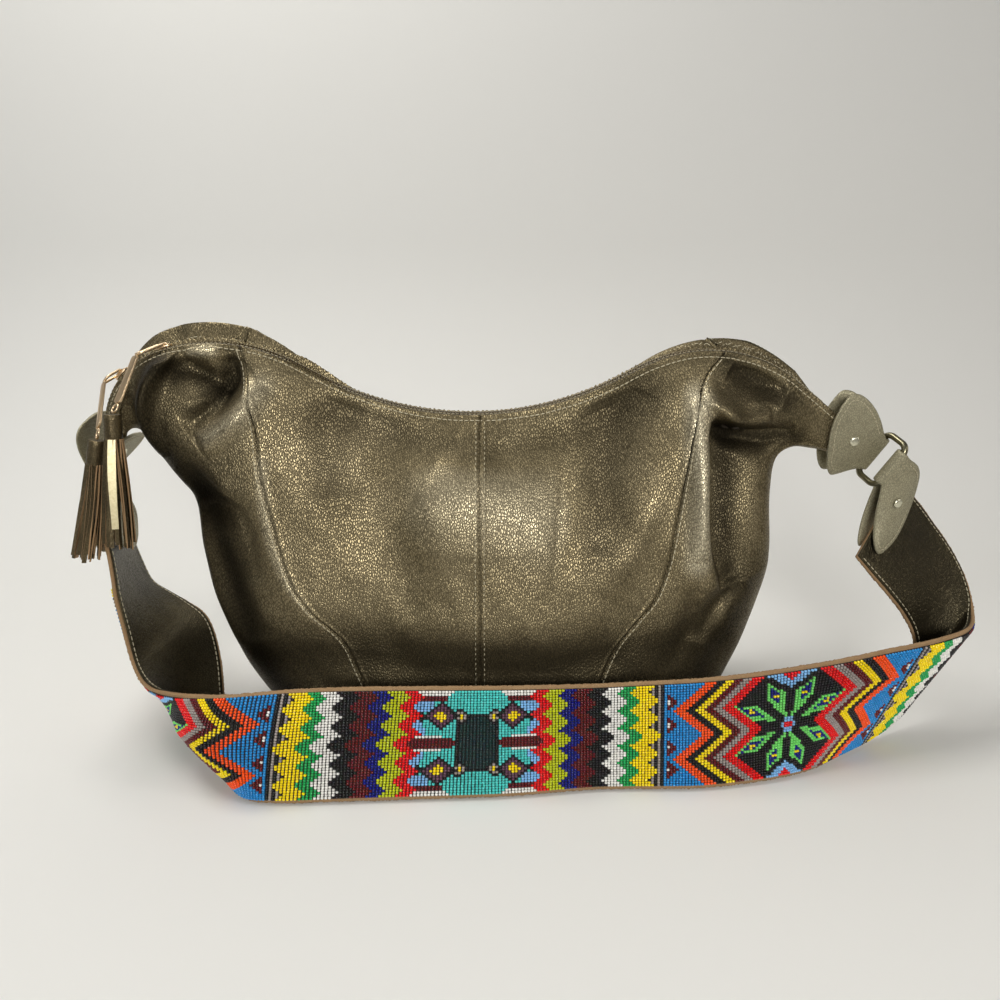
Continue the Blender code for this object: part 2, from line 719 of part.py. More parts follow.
def make_pull(word, place, shares):
    anchor, along, centre_of_arc = place
    stops = [anchor + Vector(share) * CHAIN_REACH for share in shares]
    link_end, bar_end, tassel_top, tassel_end = stops
    way = (link_end - anchor).normalized()
    across = (along - way * along.dot(way)).normalized()
    start = anchor + way * LINK_WIRE
    end = link_end - way * LINK_WIRE
    loop = rounded_loop(
        (start + end) / 2, way, across, (end - start).length, LINK_WIDTH, LINK_WIDTH / 2 - LINK_WIRE, 3
    )
    wire_object(f"link_{word}", loop, LINK_WIRE, "pull_metal", 1, True)
    way = (bar_end - link_end).normalized()
    start = link_end + way * BAR_GAP
    end = bar_end
    box_between(f"pull_bar_{word}", start, end, across, BAR_WIDTH, BAR_THICKNESS, "pull_metal")
    way = (tassel_top - bar_end).normalized()
    centre = bar_end + way * (CHAIN_GAP + JUMP_RING_WIRE + JUMP_RING_RADIUS)
    ring = rounded_loop(
        centre, way, across, 2 * JUMP_RING_RADIUS, 2 * JUMP_RING_RADIUS, JUMP_RING_RADIUS, 3
    )
    wire_object(f"jump_ring_{word}", ring[:-1], JUMP_RING_WIRE, "pull_metal", 1, True)
    top = centre + way * (JUMP_RING_RADIUS + JUMP_RING_WIRE + HEAD_GAP)
    way = (tassel_end - top).normalized()
    head_end = top + way * HEAD_LENGTH
    cone_between(f"tassel_head_{word}", top, head_end, HEAD_RADIUS, HEAD_RADIUS, 14, "tassel_leather")
    cone_between(
        f"tassel_fringe_{word}", head_end + way * GAP, tassel_end,
        FRINGE_TOP_RADIUS, FRINGE_RADIUS, 16, "tassel_leather",
    )
    hang_on(f"slider_axis_{word}", centre_of_arc, (f"slider_{word}",))
    hang_on(f"link_axis_{word}", anchor, (f"link_{word}",))
    hang_on(f"bar_axis_{word}", link_end, (f"pull_bar_{word}",))
    tassel = (f"jump_ring_{word}", f"tassel_head_{word}", f"tassel_fringe_{word}")
    hang_on(f"tassel_axis_{word}", bar_end, tassel)


# Half-moon leaf outline: half width at each share of the way from the chord to the neck
LEAF_SIDES = (-1.0, -0.5, 0.0, 0.5, 1.0)
LEAF_SHARES = (
    (0.0, 0.36), (0.07, 0.47), (0.20, 0.50), (0.45, 0.47), (0.70, 0.37), (0.88, 0.27), (1.0, 0.216),
)


def folded_tab(name, chords, chord_way, fold, wire_ways, fold_radius, rivet_shares):
    """One piece of leather folded round a wire: leaf, half turn, leaf."""
    out_way, side_way, wide_way = wire_ways
    rows = []
    for chord, sign in zip(chords, (1, -1)):
        neck = fold + side_way * sign * fold_radius
        row_set = []
        for share, half in LEAF_SHARES:
            centre = chord.lerp(neck, share)
            wide = chord_way.lerp(wide_way, share ** 2 * (3 - 2 * share)).normalized()
            row_set.append([centre + wide * (half * TAB_WIDTH * side) for side in LEAF_SIDES])
        if sign < 0:
            turn = []
            half_width = LEAF_SHARES[-1][1] * TAB_WIDTH
            for i in range(1, 6):
                angle = math.pi * i / 6
                bend = side_way * math.cos(angle) + out_way * math.sin(angle)
                centre = fold + bend * fold_radius
                turn.append([centre + wide_way * (half_width * side) for side in LEAF_SIDES])
            row_set = turn + row_set[::-1]
        rows += row_set
    shape = grid_shape(rows, False)
    item = add_object(name, mesh_from(name, shape), "tab_leather")
    thicken(item, TAB_LEATHER, 0.0)
    places = []
    for chord, sign, share in zip(chords, (1, -1), rivet_shares):
        places.append(chord.lerp(fold + side_way * sign * fold_radius, share))
    way = (places[0] - places[1]).normalized()
    reach = TAB_LEATHER / 2 + RIVET_SEAT + RIVET_HEAD
    start, end = places[0] + way * reach, places[1] - way * reach
    cut_hole(item, start, end)
    make_rivet(name.replace("_tab", "_rivet"), start, end)


def cut_hole(item, start, end):
    """Cuts a round hole for a rivet's shank through both leaves of a tab."""
    name = item.name + "_hole"
    cutter = cone_between(
        name, start, end, RIVET_SHANK + GAP, RIVET_SHANK + GAP, 12, "rivet_metal"
    )
    PARTS.objects.unlink(cutter)
    CUTTERS.objects.link(cutter)
    cutter.hide_render = True
    cutter.display_type = "WIRE"
    hole = item.modifiers.new("rivet hole", "BOOLEAN")
    hole.operation = "DIFFERENCE"
    hole.solver = "EXACT"
    hole.object = cutter


def make_rivet(name, start, end):
    """A shank with a flat head at each end, outside the two leaves."""
    way = (end - start).normalized()
    profile = (
        (RIVET_RADIUS, 0.0), (RIVET_RADIUS, RIVET_HEAD),
        (RIVET_SHANK, RIVET_HEAD), (RIVET_SHANK, (end - start).length - RIVET_HEAD),
        (RIVET_RADIUS, (end - start).length - RIVET_HEAD), (RIVET_RADIUS, (end - start).length),
    )
    shape = bmesh.new()
    segments = 14
    rings = []
    turn = way.to_track_quat("Z", "Y").to_matrix()
    for radius, height in profile:
        ring = []
        for i in range(segments):
            angle = 2 * math.pi * i / segments
            point = Vector((radius * math.cos(angle), radius * math.sin(angle), height))
            ring.append(shape.verts.new(start + turn @ point))
        rings.append(ring)
    for first, last in zip(rings, rings[1:]):
        for i in range(segments):
            j = (i + 1) % segments
            shape.faces.new((first[i], first[j], last[j], last[i]))
    shape.faces.new(rings[0][::-1])
    shape.faces.new(rings[-1])
    bmesh.ops.recalc_face_normals(shape, faces=shape.faces[:])
    return add_object(name, mesh_from(name, shape), "rivet_metal")


def strap_end(station):
    top, bottom = STRAP_SHARES[station]
    return (Vector(top) + Vector(bottom)) / 2 * STRAP_REACH


def strap_rows(first, last, edge):
    """Rows of strap points; the bottom edge of each station comes first."""
    left = placed(LEFT_FOLD, LEFT_STRAP_END_SHARES) - strap_end(0)
    right = placed(RIGHT_FOLD, RIGHT_STRAP_END_SHARES) - strap_end(-1)
    tops = []
    bottoms = []
    for i, (top, bottom) in enumerate(STRAP_SHARES):
        place = i / (len(STRAP_SHARES) - 1)
        carry = left * between(LEFT_CARRY_SHARES, place) + right * between(RIGHT_CARRY_SHARES, place)
        tops.append(Vector(top) * STRAP_REACH + carry)
        bottoms.append(Vector(bottom) * STRAP_REACH + carry)
    rows = []
    for i in range(first, last + 1):
        share = i / STRAP_STATIONS
        top = curve_through(tops, share)
        bottom = curve_through(bottoms, share)
        ahead = curve_through(tops, share + BOW_STEP_SHARE) + curve_through(bottoms, share + BOW_STEP_SHARE)
        bow = (top - bottom).cross(ahead - top - bottom).normalized()
        bow *= -STRAP_BOW * between(BOW_SHARES, share)
        row = []
        for j in range(STRAP_CELLS + 1):
            place = edge + (1 - 2 * edge) * j / STRAP_CELLS
            row.append(bottom.lerp(top, place) + bow * math.sin(math.pi * place))
        rows.append(row)
    return rows


def make_strap():
    """Three ribbons, one behind the other; the bead weaving faces out."""
    lift = Vector((0, 0, STRAP_LIFT + STRAP_CORE / 2))
    layers = (
        ("strap_core", 0, STRAP_STATIONS, 0.0, 0.0, STRAP_CORE, "tan_leather"),
        ("strap_lining", 0, STRAP_STATIONS, LINING_EDGE_SHARE, STRAP_CORE / 2 + STRAP_GAP + STRAP_LINING / 2,
         STRAP_LINING, "strap_leather"),
        ("strap_beadwork", BEAD_FIRST_STATION, BEAD_LAST_STATION, BEAD_EDGE_SHARE,
         -(STRAP_CORE / 2 + STRAP_GAP + BEAD_LAYER / 2), BEAD_LAYER, "beads"),
    )
    for name, first, last, edge, shift, thickness, finish in layers:
        rows = strap_rows(first, last, edge)
        shape = grid_shape([[point + lift for point in row] for row in rows], False)
        shift_along_normals(shape, shift)
        item = add_object(name, mesh_from(name, shape), finish)
        thicken(item, thickness, 0.0)


# Places of the tabs and folds from the ends of the zip, as shares of TAB_WIDTH, and directions there
RIGHT_CHORD_SHARES = (-0.17977, 0.0, -0.03599)
RIGHT_FOLD_SHARES = (0.42577, 0.03825, -0.38201)
LEFT_OUTER_CHORD_SHARES = (-0.06565, 0.0, 0.36524)
LEFT_INNER_CHORD_SHARES = (0.28627, 0.0, 0.08863)
LEFT_FOLD_SHARES = (-0.12331, 0.0, -0.32683)
# Chords of the strap tabs from the folds that the rings hang in
RIGHT_STRAP_CHORD_SHARES = (0.25010, -0.13417, -0.95215)
LEFT_STRAP_CHORD_SHARES = (0.06768, 0.0, -1.03863)
# Middles of the strap's ends from the same folds
RIGHT_STRAP_END_SHARES = (0.107102, -0.173596, -0.799172)
LEFT_STRAP_END_SHARES = (0.019432, 0.017654, -0.809132)


def placed(point, shares):
    return point + Vector(shares) * TAB_WIDTH


RIGHT_CHORD = placed(RIGHT_END, RIGHT_CHORD_SHARES)
RIGHT_CHORD_WAY = Vector((0.20, 0.0, 0.98))
RIGHT_FOLD = placed(RIGHT_END, RIGHT_FOLD_SHARES)
RIGHT_WIDE = Vector((0.45, -0.20, 0.87)).normalized()
RIGHT_DROP = Vector((0.30, -0.85, -0.40))
RIGHT_LEAF_OFFSET = 0.0082
LEFT_OUTER_CHORD = placed(LEFT_END, LEFT_OUTER_CHORD_SHARES)
LEFT_INNER_CHORD = placed(LEFT_END, LEFT_INNER_CHORD_SHARES)
LEFT_FOLD = placed(LEFT_END, LEFT_FOLD_SHARES)
LEFT_WIDE = Vector((0.0, 1.0, 0.0))
LEFT_DROP = Vector((0.05, 0.0, -1.0))
STRAP_LEAF_OFFSET = 0.0077
RIGHT_STRAP_CHORD = placed(RIGHT_FOLD, RIGHT_STRAP_CHORD_SHARES)
LEFT_STRAP_CHORD = placed(LEFT_FOLD, LEFT_STRAP_CHORD_SHARES)


def make_ring(name, fold, wide, drop):
    """A wire ring with round corners hung in a fold; gives the fold on its far side."""
    drop = (drop - wide * drop.dot(wide)).normalized()
    wire_gap = RING_SHORT - 2 * RING_WIRE
    centre = fold + drop * (wire_gap / 2)
    loop = rounded_loop(
        centre, wide, drop, RING_LONG - 2 * RING_WIRE, wire_gap, RING_CORNER, 4
    )
    wire_object(name, loop, RING_WIRE, "ring_metal", 2, True)
    return fold + drop * wire_gap


def make_tab(name, chords, chord_way, fold, wide, toward, rivet_shares=RIVET_PLACE_SHARES):
    """A tab whose first leaf lies on the side that toward points to."""
    middle = (chords[0] + chords[1]) / 2
    out = fold - middle
    out = (out - wide * out.dot(wide)).normalized()
    side = out.cross(wide).normalized()
    if side.dot(toward) < 0:
        side = -side
    radius = RING_WIRE + LOOP_CLEARANCE + TAB_LEATHER / 2
    folded_tab(name, chords, chord_way, fold, (out, side, wide), radius, rivet_shares)


def make_ends():
    front = Vector((0.0, -1.0, 0.0))
    leaf = front * RIGHT_LEAF_OFFSET
    make_tab("right_bag_tab", (RIGHT_CHORD + leaf, RIGHT_CHORD - leaf), RIGHT_CHORD_WAY, RIGHT_FOLD,
             RIGHT_WIDE, front)
    right_fold = make_ring("right_ring", RIGHT_FOLD, RIGHT_WIDE, RIGHT_DROP)
    make_tab("left_bag_tab", (LEFT_OUTER_CHORD, LEFT_INNER_CHORD), LEFT_WIDE, LEFT_FOLD,
             LEFT_WIDE, Vector((-1.0, 0.0, 0.0)), LEFT_RIVET_SHARES)
    left_fold = make_ring("left_ring", LEFT_FOLD, LEFT_WIDE, LEFT_DROP)
    for word, fold, wide, chord, station in (
        ("right", right_fold, RIGHT_WIDE, RIGHT_STRAP_CHORD, -1),
        ("left", left_fold, LEFT_WIDE, LEFT_STRAP_CHORD, 0),
    ):
        top, bottom = (Vector(end) * STRAP_REACH for end in STRAP_SHARES[station])
        chord_way = (top - bottom).normalized()
        if chord_way.dot(wide) < 0:
            chord_way = -chord_way
        side = (fold - chord).cross(chord_way).normalized()
        leaf = side * STRAP_LEAF_OFFSET
        make_tab(f"{word}_strap_tab", (chord + leaf, chord - leaf), chord_way, fold, wide, side)
        hang_on(f"{word}_ring_axis", fold, (f"{word}_ring",))


PARTS, CUTTERS = clear_scene()
make_panels()
make_lining()
make_zip_tapes()
make_zip_teeth()
ANCHOR_A = make_slider("slider_a", START_RUN + SHOULDER_RADIUS * SHOULDER_ANGLE + HUMP_RADIUS * SLIDER_A_ANGLE)
ANCHOR_B = make_slider("slider_b", START_RUN + SHOULDER_RADIUS * SLIDER_B_ANGLE)
make_pull("a", ANCHOR_A, CHAIN_A_SHARES)
make_pull("b", ANCHOR_B, CHAIN_B_SHARES)
make_ends()
make_strap()
hang_on("strap_axis", RIGHT_FOLD, (
    "strap_core", "strap_lining", "strap_beadwork", "left_strap_tab", "right_strap_tab",
    "left_strap_rivet", "right_strap_rivet",
))
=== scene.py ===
import math

import bmesh
import bpy
import numpy as np
from mathutils import Matrix, Vector


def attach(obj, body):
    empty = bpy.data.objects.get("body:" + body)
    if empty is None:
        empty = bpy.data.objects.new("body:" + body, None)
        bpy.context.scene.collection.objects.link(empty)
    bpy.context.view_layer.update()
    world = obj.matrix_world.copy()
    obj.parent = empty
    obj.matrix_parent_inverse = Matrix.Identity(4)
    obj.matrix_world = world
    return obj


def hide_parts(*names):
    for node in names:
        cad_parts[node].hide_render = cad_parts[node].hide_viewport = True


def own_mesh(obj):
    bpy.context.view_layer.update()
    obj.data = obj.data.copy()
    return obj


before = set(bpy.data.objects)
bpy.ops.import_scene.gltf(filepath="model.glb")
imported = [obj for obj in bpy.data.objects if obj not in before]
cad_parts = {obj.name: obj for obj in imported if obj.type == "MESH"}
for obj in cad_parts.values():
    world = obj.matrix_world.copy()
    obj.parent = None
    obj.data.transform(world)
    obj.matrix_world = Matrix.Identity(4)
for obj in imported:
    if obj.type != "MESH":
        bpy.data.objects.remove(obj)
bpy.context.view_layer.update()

# Camera, floor and light
cameraSettings = {"lens": 27.0, "place": (0.0, -0.46, 0.284), "pitch": 16.8}
cameraData = bpy.data.cameras.new("camera")
cameraData.lens = cameraSettings["lens"]
cameraData.sensor_width = 36.0
camera = bpy.data.objects.new("camera", cameraData)
camera.location = cameraSettings["place"]
camera.rotation_euler = (math.radians(90 - cameraSettings["pitch"]), 0, 0)
bpy.context.scene.collection.objects.link(camera)
bpy.context.scene.camera = camera
bpy.context.scene.view_settings.view_transform = "Standard"


def addObject(name, mesh, body, materials=(), smooth=True):
    item = bpy.data.objects.new(name, mesh)
    bpy.context.scene.collection.objects.link(item)
    if materials:
        if len(mesh.materials):
            mesh.materials.clear()
        for material in materials:
            mesh.materials.append(material)
    if smooth:
        mesh.shade_smooth()
    if body:
        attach(item, body)
    return item


# A mesh opened for editing, and the edited shape written back with its normals outwards
def shapeOf(mesh):
    shape = bmesh.new()
    shape.from_mesh(mesh)
    shape.verts.ensure_lookup_table()
    return shape


def keepShape(shape, mesh):
    bmesh.ops.recalc_face_normals(shape, faces=shape.faces[:])
    shape.to_mesh(mesh)
    shape.free()


def areaLight(name, place, aim, size, power, colour):
    data = bpy.data.lights.new(name, "AREA")
    data.shape = "RECTANGLE"
    data.size, data.size_y = size
    data.energy = power
    data.color = colour
    lamp = bpy.data.objects.new(name, data)
    lamp.location = place
    lamp.rotation_euler = (Vector(aim) - Vector(place)).to_track_quat("-Z", "Y").to_euler()
    bpy.context.scene.collection.objects.link(lamp)


areaLight("skyLight", (-0.45, 0.10, 1.30), (0, 0, 0.12), (0.7, 0.4), 10.0, (1.0, 0.985, 0.95))
areaLight("frontLight", (0.12, -1.30, 0.62), (0, 0, 0.1), (0.60, 0.24), 10.5, (1.0, 0.99, 0.97))
areaLight("leftLight", (-1.20, -0.35, 0.50), (-0.05, 0, 0.12), (0.16, 0.5), 1.3, (0.93, 0.97, 1.0))
areaLight("rightLight", (1.15, -0.40, 0.60), (0.05, 0, 0.1), (0.16, 0.5), 1.8, (1.0, 0.96, 0.90))

world = bpy.data.worlds.new("studio")
bpy.context.scene.world = world
world.use_nodes = True
worldTree = world.node_tree
worldPlace = worldTree.nodes.new("ShaderNodeTexCoord")
worldSplit = worldTree.nodes.new("ShaderNodeSeparateXYZ")
worldRamp = worldTree.nodes.new("ShaderNodeValToRGB")
worldTree.links.new(worldPlace.outputs["Generated"], worldSplit.inputs[0])
worldTree.links.new(worldSplit.outputs["Z"], worldRamp.inputs["Fac"])
worldTree.links.new(worldRamp.outputs["Color"], worldTree.nodes["Background"].inputs["Color"])
ramp = worldRamp.color_ramp
ramp.elements[0].position = 0.0
ramp.elements[0].color = (0.06, 0.06, 0.065, 1)
ramp.elements[1].position = 1.0
ramp.elements[1].color = (1.0, 1.0, 1.0, 1)
for position, level in ((0.30, 0.12), (0.55, 0.42)):
    stop = ramp.elements.new(position)
    stop.color = (level, level, level * 1.02, 1)
worldTree.nodes["Background"].inputs["Strength"].default_value = 0.22


# Small helpers for node trees
# A node tree being written, with short calls for adding and joining nodes
class Graph:

    def __init__(self, tree):
        self.tree = tree

    def add(self, kind, inputs=(), **settings):
        node = self.tree.nodes.new(kind)
        for key, value in settings.items():
            setattr(node, key, value)
        for key, value in dict(inputs).items():
            socket = node.inputs[key]
            if isinstance(value, bpy.types.NodeSocket):
                self.tree.links.new(value, socket)
            else:
                socket.default_value = value
        return node

    def math(self, operation, *values):
        node = self.add("ShaderNodeMath", operation=operation)
        for socket, value in zip(node.inputs, values):
            if isinstance(value, bpy.types.NodeSocket):
                self.tree.links.new(value, socket)
            else:
                socket.default_value = value
        return node.outputs[0]

    def mix(self, share, *ends):
        first, last = [end if isinstance(end, bpy.types.NodeSocket) else (*end, 1) for end in ends]
        return self.add("ShaderNodeMix", {0: share, 6: first, 7: last}, data_type="RGBA").outputs[2]

    def bump(self, shader, height, strength, distance):
        node = self.add("ShaderNodeBump", {"Height": height, "Strength": strength, "Distance": distance})
        self.link(node.outputs["Normal"], shader.inputs["Normal"])

    def link(self, first, last):
        self.tree.links.new(first, last)


def newMaterial(name, colour, metallic, roughness):
    material = bpy.data.materials.new(name)
    material.use_nodes = True
    shader = material.node_tree.nodes["Principled BSDF"]
    shader.inputs["Base Color"].default_value = (*colour, 1)
    shader.inputs["Metallic"].default_value = metallic
    shader.inputs["Roughness"].default_value = roughness
    return material, Graph(material.node_tree), shader


def srgb(red, green, blue):
    return tuple(((c / 255 + 0.055) / 1.055) ** 2.4 if c > 10 else c / 255 / 12.92
                 for c in (red, green, blue))


# An empty shader group with the sockets given as (name, type, default)
def newGroup(name, inputs, outputs):
    tree = bpy.data.node_groups.new(name, "ShaderNodeTree")
    for label, kind, value in inputs:
        socket = tree.interface.new_socket(label, in_out="INPUT", socket_type=kind)
        if value is not None:
            socket.default_value = value
    for label, kind in outputs:
        tree.interface.new_socket(label, in_out="OUTPUT", socket_type=kind)
    graph = Graph(tree)
    return tree, graph, graph.add("NodeGroupInput"), graph.add("NodeGroupOutput")


def useGroup(graph, tree, inputs):
    node = graph.add("ShaderNodeGroup", node_tree=tree)
    for key, value in inputs.items():
        if isinstance(value, bpy.types.NodeSocket):
            graph.link(value, node.inputs[key])
        else:
            node.inputs[key].default_value = value
    return node


# A Geometry Nodes tree that puts a unit shape on every point of a mesh, by the points' attributes
def makeScatterTree():
    tree = bpy.data.node_groups.new("scatterUnits", "GeometryNodeTree")
    for label, kind, value in (
        ("Geometry", "NodeSocketGeometry", None), ("Unit", "NodeSocketObject", None),
        ("Material", "NodeSocketMaterial", None), ("Uneven", "NodeSocketFloat", 0.0),
        ("Seed", "NodeSocketInt", 7),
    ):
        socket = tree.interface.new_socket(label, in_out="INPUT", socket_type=kind)
        if value is not None:
            socket.default_value = value
    tree.interface.new_socket("Geometry", in_out="OUTPUT", socket_type="NodeSocketGeometry")
    graph = Graph(tree)
    source, result = graph.add("NodeGroupInput"), graph.add("NodeGroupOutput")
    unit = graph.add("GeometryNodeObjectInfo", {"Object": source.outputs["Unit"]})
    turn = graph.add("GeometryNodeInputNamedAttribute", {"Name": "turn"}, data_type="FLOAT_VECTOR")
    size = graph.add("GeometryNodeInputNamedAttribute", {"Name": "unitSize"}, data_type="FLOAT_VECTOR")
    rotation = graph.add("FunctionNodeEulerToRotation", {0: turn.outputs["Attribute"]})
    low = graph.math("SUBTRACT", 1.0, source.outputs["Uneven"])
    high = graph.math("ADD", 1.0, source.outputs["Uneven"])
    uneven = graph.add("FunctionNodeRandomValue", {2: low, 3: high, "Seed": source.outputs["Seed"]},
                       data_type="FLOAT")
    scale = graph.add("ShaderNodeVectorMath", {0: size.outputs["Attribute"], "Scale": uneven.outputs[1]},
                      operation="SCALE")
    placed = graph.add("GeometryNodeInstanceOnPoints", {
        "Points": source.outputs["Geometry"], "Instance": unit.outputs["Geometry"],
        "Rotation": rotation.outputs[0], "Scale": scale.outputs[0],
    })
    real = graph.add("GeometryNodeRealizeInstances", {"Geometry": placed.outputs[0]})
    dressed = graph.add("GeometryNodeSetMaterial",
                        {"Geometry": real.outputs[0], "Material": source.outputs["Material"]})
    graph.link(dressed.outputs[0], result.inputs[0])
    return tree


scatterTree = makeScatterTree()


def eulers(xWay, yWay, zWay):
    return np.stack([
        np.arctan2(yWay[..., 2], zWay[..., 2]), -np.arcsin(np.clip(xWay[..., 2], -1, 1)),
        np.arctan2(xWay[..., 1], xWay[..., 0]),
    ], -1)


# One mesh of units at points; their x, y and z ways are unit vectors and tints are RGB rows
def scatter(name, points, ways, sizes, unitMesh, material, body, tints=None, uneven=0.0, smooth=True):
    points = np.asarray(points, float).reshape(-1, 3)
    ways = [np.broadcast_to(np.asarray(way, float), points.shape) for way in ways]
    sizes = np.broadcast_to(np.asarray(sizes, float), points.shape)
    cloud = bpy.data.meshes.new(name + "Points")
    cloud.from_pydata(points.tolist(), [], [])
    for label, values in (("turn", eulers(*ways)), ("unitSize", sizes)):
        layer = cloud.attributes.new(label, "FLOAT_VECTOR", "POINT")
        layer.data.foreach_set("vector", np.ascontiguousarray(values, np.float32).reshape(-1))
    if tints is not None:
        layer = cloud.attributes.new("tint", "FLOAT_COLOR", "POINT")
        rgba = np.concatenate([np.asarray(tints, float).reshape(-1, 3), np.ones((len(points), 1))], 1)
        layer.data.foreach_set("color", rgba.astype(np.float32).reshape(-1))
    unit = bpy.data.objects.new(name + "Unit", unitMesh)
    holder = bpy.data.objects.new(name + "Holder", cloud)
    for item in (unit, holder):
        bpy.context.scene.collection.objects.link(item)
    modifier = holder.modifiers.new("scatter", "NODES")
    modifier.node_group = scatterTree
    sockets = {item.name: item.identifier for item in scatterTree.interface.items_tree
               if item.in_out == "INPUT"}
    modifier[sockets["Unit"]] = unit
    modifier[sockets["Material"]] = material
    modifier[sockets["Uneven"]] = uneven
    modifier[sockets["Seed"]] = 7
    bpy.context.view_layer.update()
    graph = bpy.context.evaluated_depsgraph_get()
    mesh = bpy.data.meshes.new_from_object(holder.evaluated_get(graph))
    mesh.name = name
    for item in (holder, unit):
        bpy.data.objects.remove(item, do_unlink=True)
    bpy.data.meshes.remove(cloud)
    if smooth:
        mesh.shade_smooth()
    return addObject(name, mesh, body, smooth=False)


# A barrel along x from rings of (place, radius), open or closed at its ends
def barrelMesh(name, rings, segments, closed):
    shape = bmesh.new()
    loops = []
    for place, radius in rings:
        angles = [2 * math.pi * i / segments for i in range(segments)]
        loops.append([shape.verts.new((place, radius * math.cos(a), radius * math.sin(a))) for a in angles])
    for first, last in zip(loops, loops[1:]):
        for i in range(segments):
            j = (i + 1) % segments
            shape.faces.new((first[i], first[j], last[j], last[i]))
    if closed:
        shape.faces.new(loops[0][::-1])
        shape.faces.new(loops[-1])
    bmesh.ops.recalc_face_normals(shape, faces=shape.faces[:])
    mesh = bpy.data.meshes.new(name)
    shape.to_mesh(mesh)
    shape.free()
    return mesh


# Pebbled leather: rounded cells of uneven size, with fine creases and slow mottling
def makeGrainGroup():
    tree, graph, source, result = newGroup(
        "leatherGrain",
        [("Vector", "NodeSocketVector", None), ("Cell", "NodeSocketFloat", 0.0016),
         ("Crease", "NodeSocketFloat", 0.5)],
        [("Height", "NodeSocketFloat"), ("Valley", "NodeSocketFloat"), ("Mottle", "NodeSocketFloat")],
    )
    vector, cell, crease = (source.outputs[key] for key in ("Vector", "Cell", "Crease"))
    perMetre = graph.math("DIVIDE", 1.0, cell)
    scaled = graph.add("ShaderNodeVectorMath", {0: vector, "Scale": perMetre}, operation="SCALE").outputs[0]
    turned = graph.add("ShaderNodeMapping",
                       {"Vector": scaled, "Rotation": (0.0, 0.4, 0.0), "Scale": (1.30, 1.1, 0.66)})
    drift = graph.add("ShaderNodeTexNoise", {"Vector": scaled, "Scale": 0.12, "Detail": 1.0})
    pushed = graph.add("ShaderNodeVectorMath", {0: drift.outputs["Color"], "Scale": 2.0},
                       operation="SCALE").outputs[0]
    place = graph.add("ShaderNodeVectorMath", {0: turned.outputs[0], 1: pushed}, operation="ADD").outputs[0]
    cells = graph.add("ShaderNodeTexVoronoi", {"Vector": place, "Scale": 1.0, "Randomness": 0.85},
                      feature="SMOOTH_F1")
    edges = graph.add("ShaderNodeTexVoronoi", {"Vector": place, "Scale": 1.0, "Randomness": 0.85},
                      feature="DISTANCE_TO_EDGE")
    small = graph.add("ShaderNodeTexVoronoi", {"Vector": place, "Scale": 2.1}, feature="F1")
    ditch = graph.math("SMOOTH_MIN", graph.math("MULTIPLY", edges.outputs["Distance"], 4.2), 1.0, 0.3)
    dome = graph.math("MULTIPLY", cells.outputs["Distance"], -0.55)
    height = graph.math("ADD", ditch, dome)
    height = graph.math("ADD", height, graph.math("MULTIPLY", small.outputs["Distance"], -0.10))
    veins = graph.add("ShaderNodeTexNoise",
                      {"Vector": turned.outputs[0], "Scale": 0.16, "Detail": 4.0, "Roughness": 0.6})
    ridge = graph.math("ABSOLUTE", graph.math("SUBTRACT", veins.outputs["Fac"], 0.5))
    line = graph.math("SMOOTH_MIN", graph.math("MULTIPLY", ridge, 11.0), 1.0, 0.3)
    height = graph.math("ADD", height, graph.math("MULTIPLY", line, crease))
    cloud = graph.add("ShaderNodeTexNoise", {"Vector": scaled, "Scale": 0.045, "Detail": 3.0})
    graph.link(height, result.inputs["Height"])
    graph.link(graph.math("SUBTRACT", 1.0, ditch), result.inputs["Valley"])
    graph.link(cloud.outputs["Fac"], result.inputs["Mottle"])
    return tree


leatherGrain = makeGrainGroup()


# Leather with a coloured ridge and valley, grain bump and a soft metallic sheen, with painted shade and
# painted highlights from the mesh's attribute
def leatherMaterial(name, settings):
    material, graph, shader = newMaterial(name, settings["ridge"], settings["metallic"],
                                          settings["roughness"])
    coordinates = graph.add("ShaderNodeTexCoord")
    grain = useGroup(graph, leatherGrain, {
        "Vector": coordinates.outputs["Object"], "Cell": settings["cell"], "Crease": settings["crease"],
    })
    darkShare = graph.math("MULTIPLY", grain.outputs["Mottle"], settings["mottle"])
    mottled = graph.mix(darkShare, settings["ridge"], settings["dark"])
    # Painted light from the mesh's attribute: below 0 it mixes in a pale painted highlight colour, above 0 a
    # painted shade colour
    paintedShadeAndHighlight = graph.add("ShaderNodeAttribute", attribute_name="paintedShadeAndHighlight").outputs["Fac"]
    paintedHighlightShare = graph.math("MAXIMUM", graph.math("MULTIPLY", paintedShadeAndHighlight, -1.0), 0.0)
    withPaintedHighlight = graph.mix(paintedHighlightShare, mottled, srgb(240, 228, 196))
    valleyShare = graph.math("MULTIPLY", grain.outputs["Valley"], settings["valleyShare"])
    worn = graph.mix(valleyShare, withPaintedHighlight, settings["valley"])
    # Colour of the painted shade
    paintedShadeColour = [0.3 * level for level in settings["valley"]]
    shaded = graph.mix(graph.math("MAXIMUM", paintedShadeAndHighlight, 0.0), worn, paintedShadeColour)
    graph.link(shaded, shader.inputs["Base Color"])
    uneven = graph.math("MULTIPLY", grain.outputs["Mottle"], 0.16)
    rough = graph.math("ADD", graph.math("ADD", settings["roughness"] - 0.08, uneven),
                       graph.math("MULTIPLY", grain.outputs["Valley"], 0.18))
    graph.link(rough, shader.inputs["Roughness"])
    bump = graph.add("ShaderNodeBump", {
        "Height": grain.outputs["Height"], "Strength": settings["bump"], "Distance": settings["cell"] * 0.075,
    })
    graph.link(bump.outputs["Normal"], shader.inputs["Normal"])
    return material


bodyLeather = leatherMaterial("bodyLeather", {
    "ridge": srgb(172, 157, 123), "dark": srgb(110, 98, 70), "valley": srgb(40, 34, 23), "metallic": 0.95,
    "roughness": 0.38, "cell": 0.0015, "crease": 0.50, "mottle": 0.9, "valleyShare": 0.70, "bump": 1.0,
})

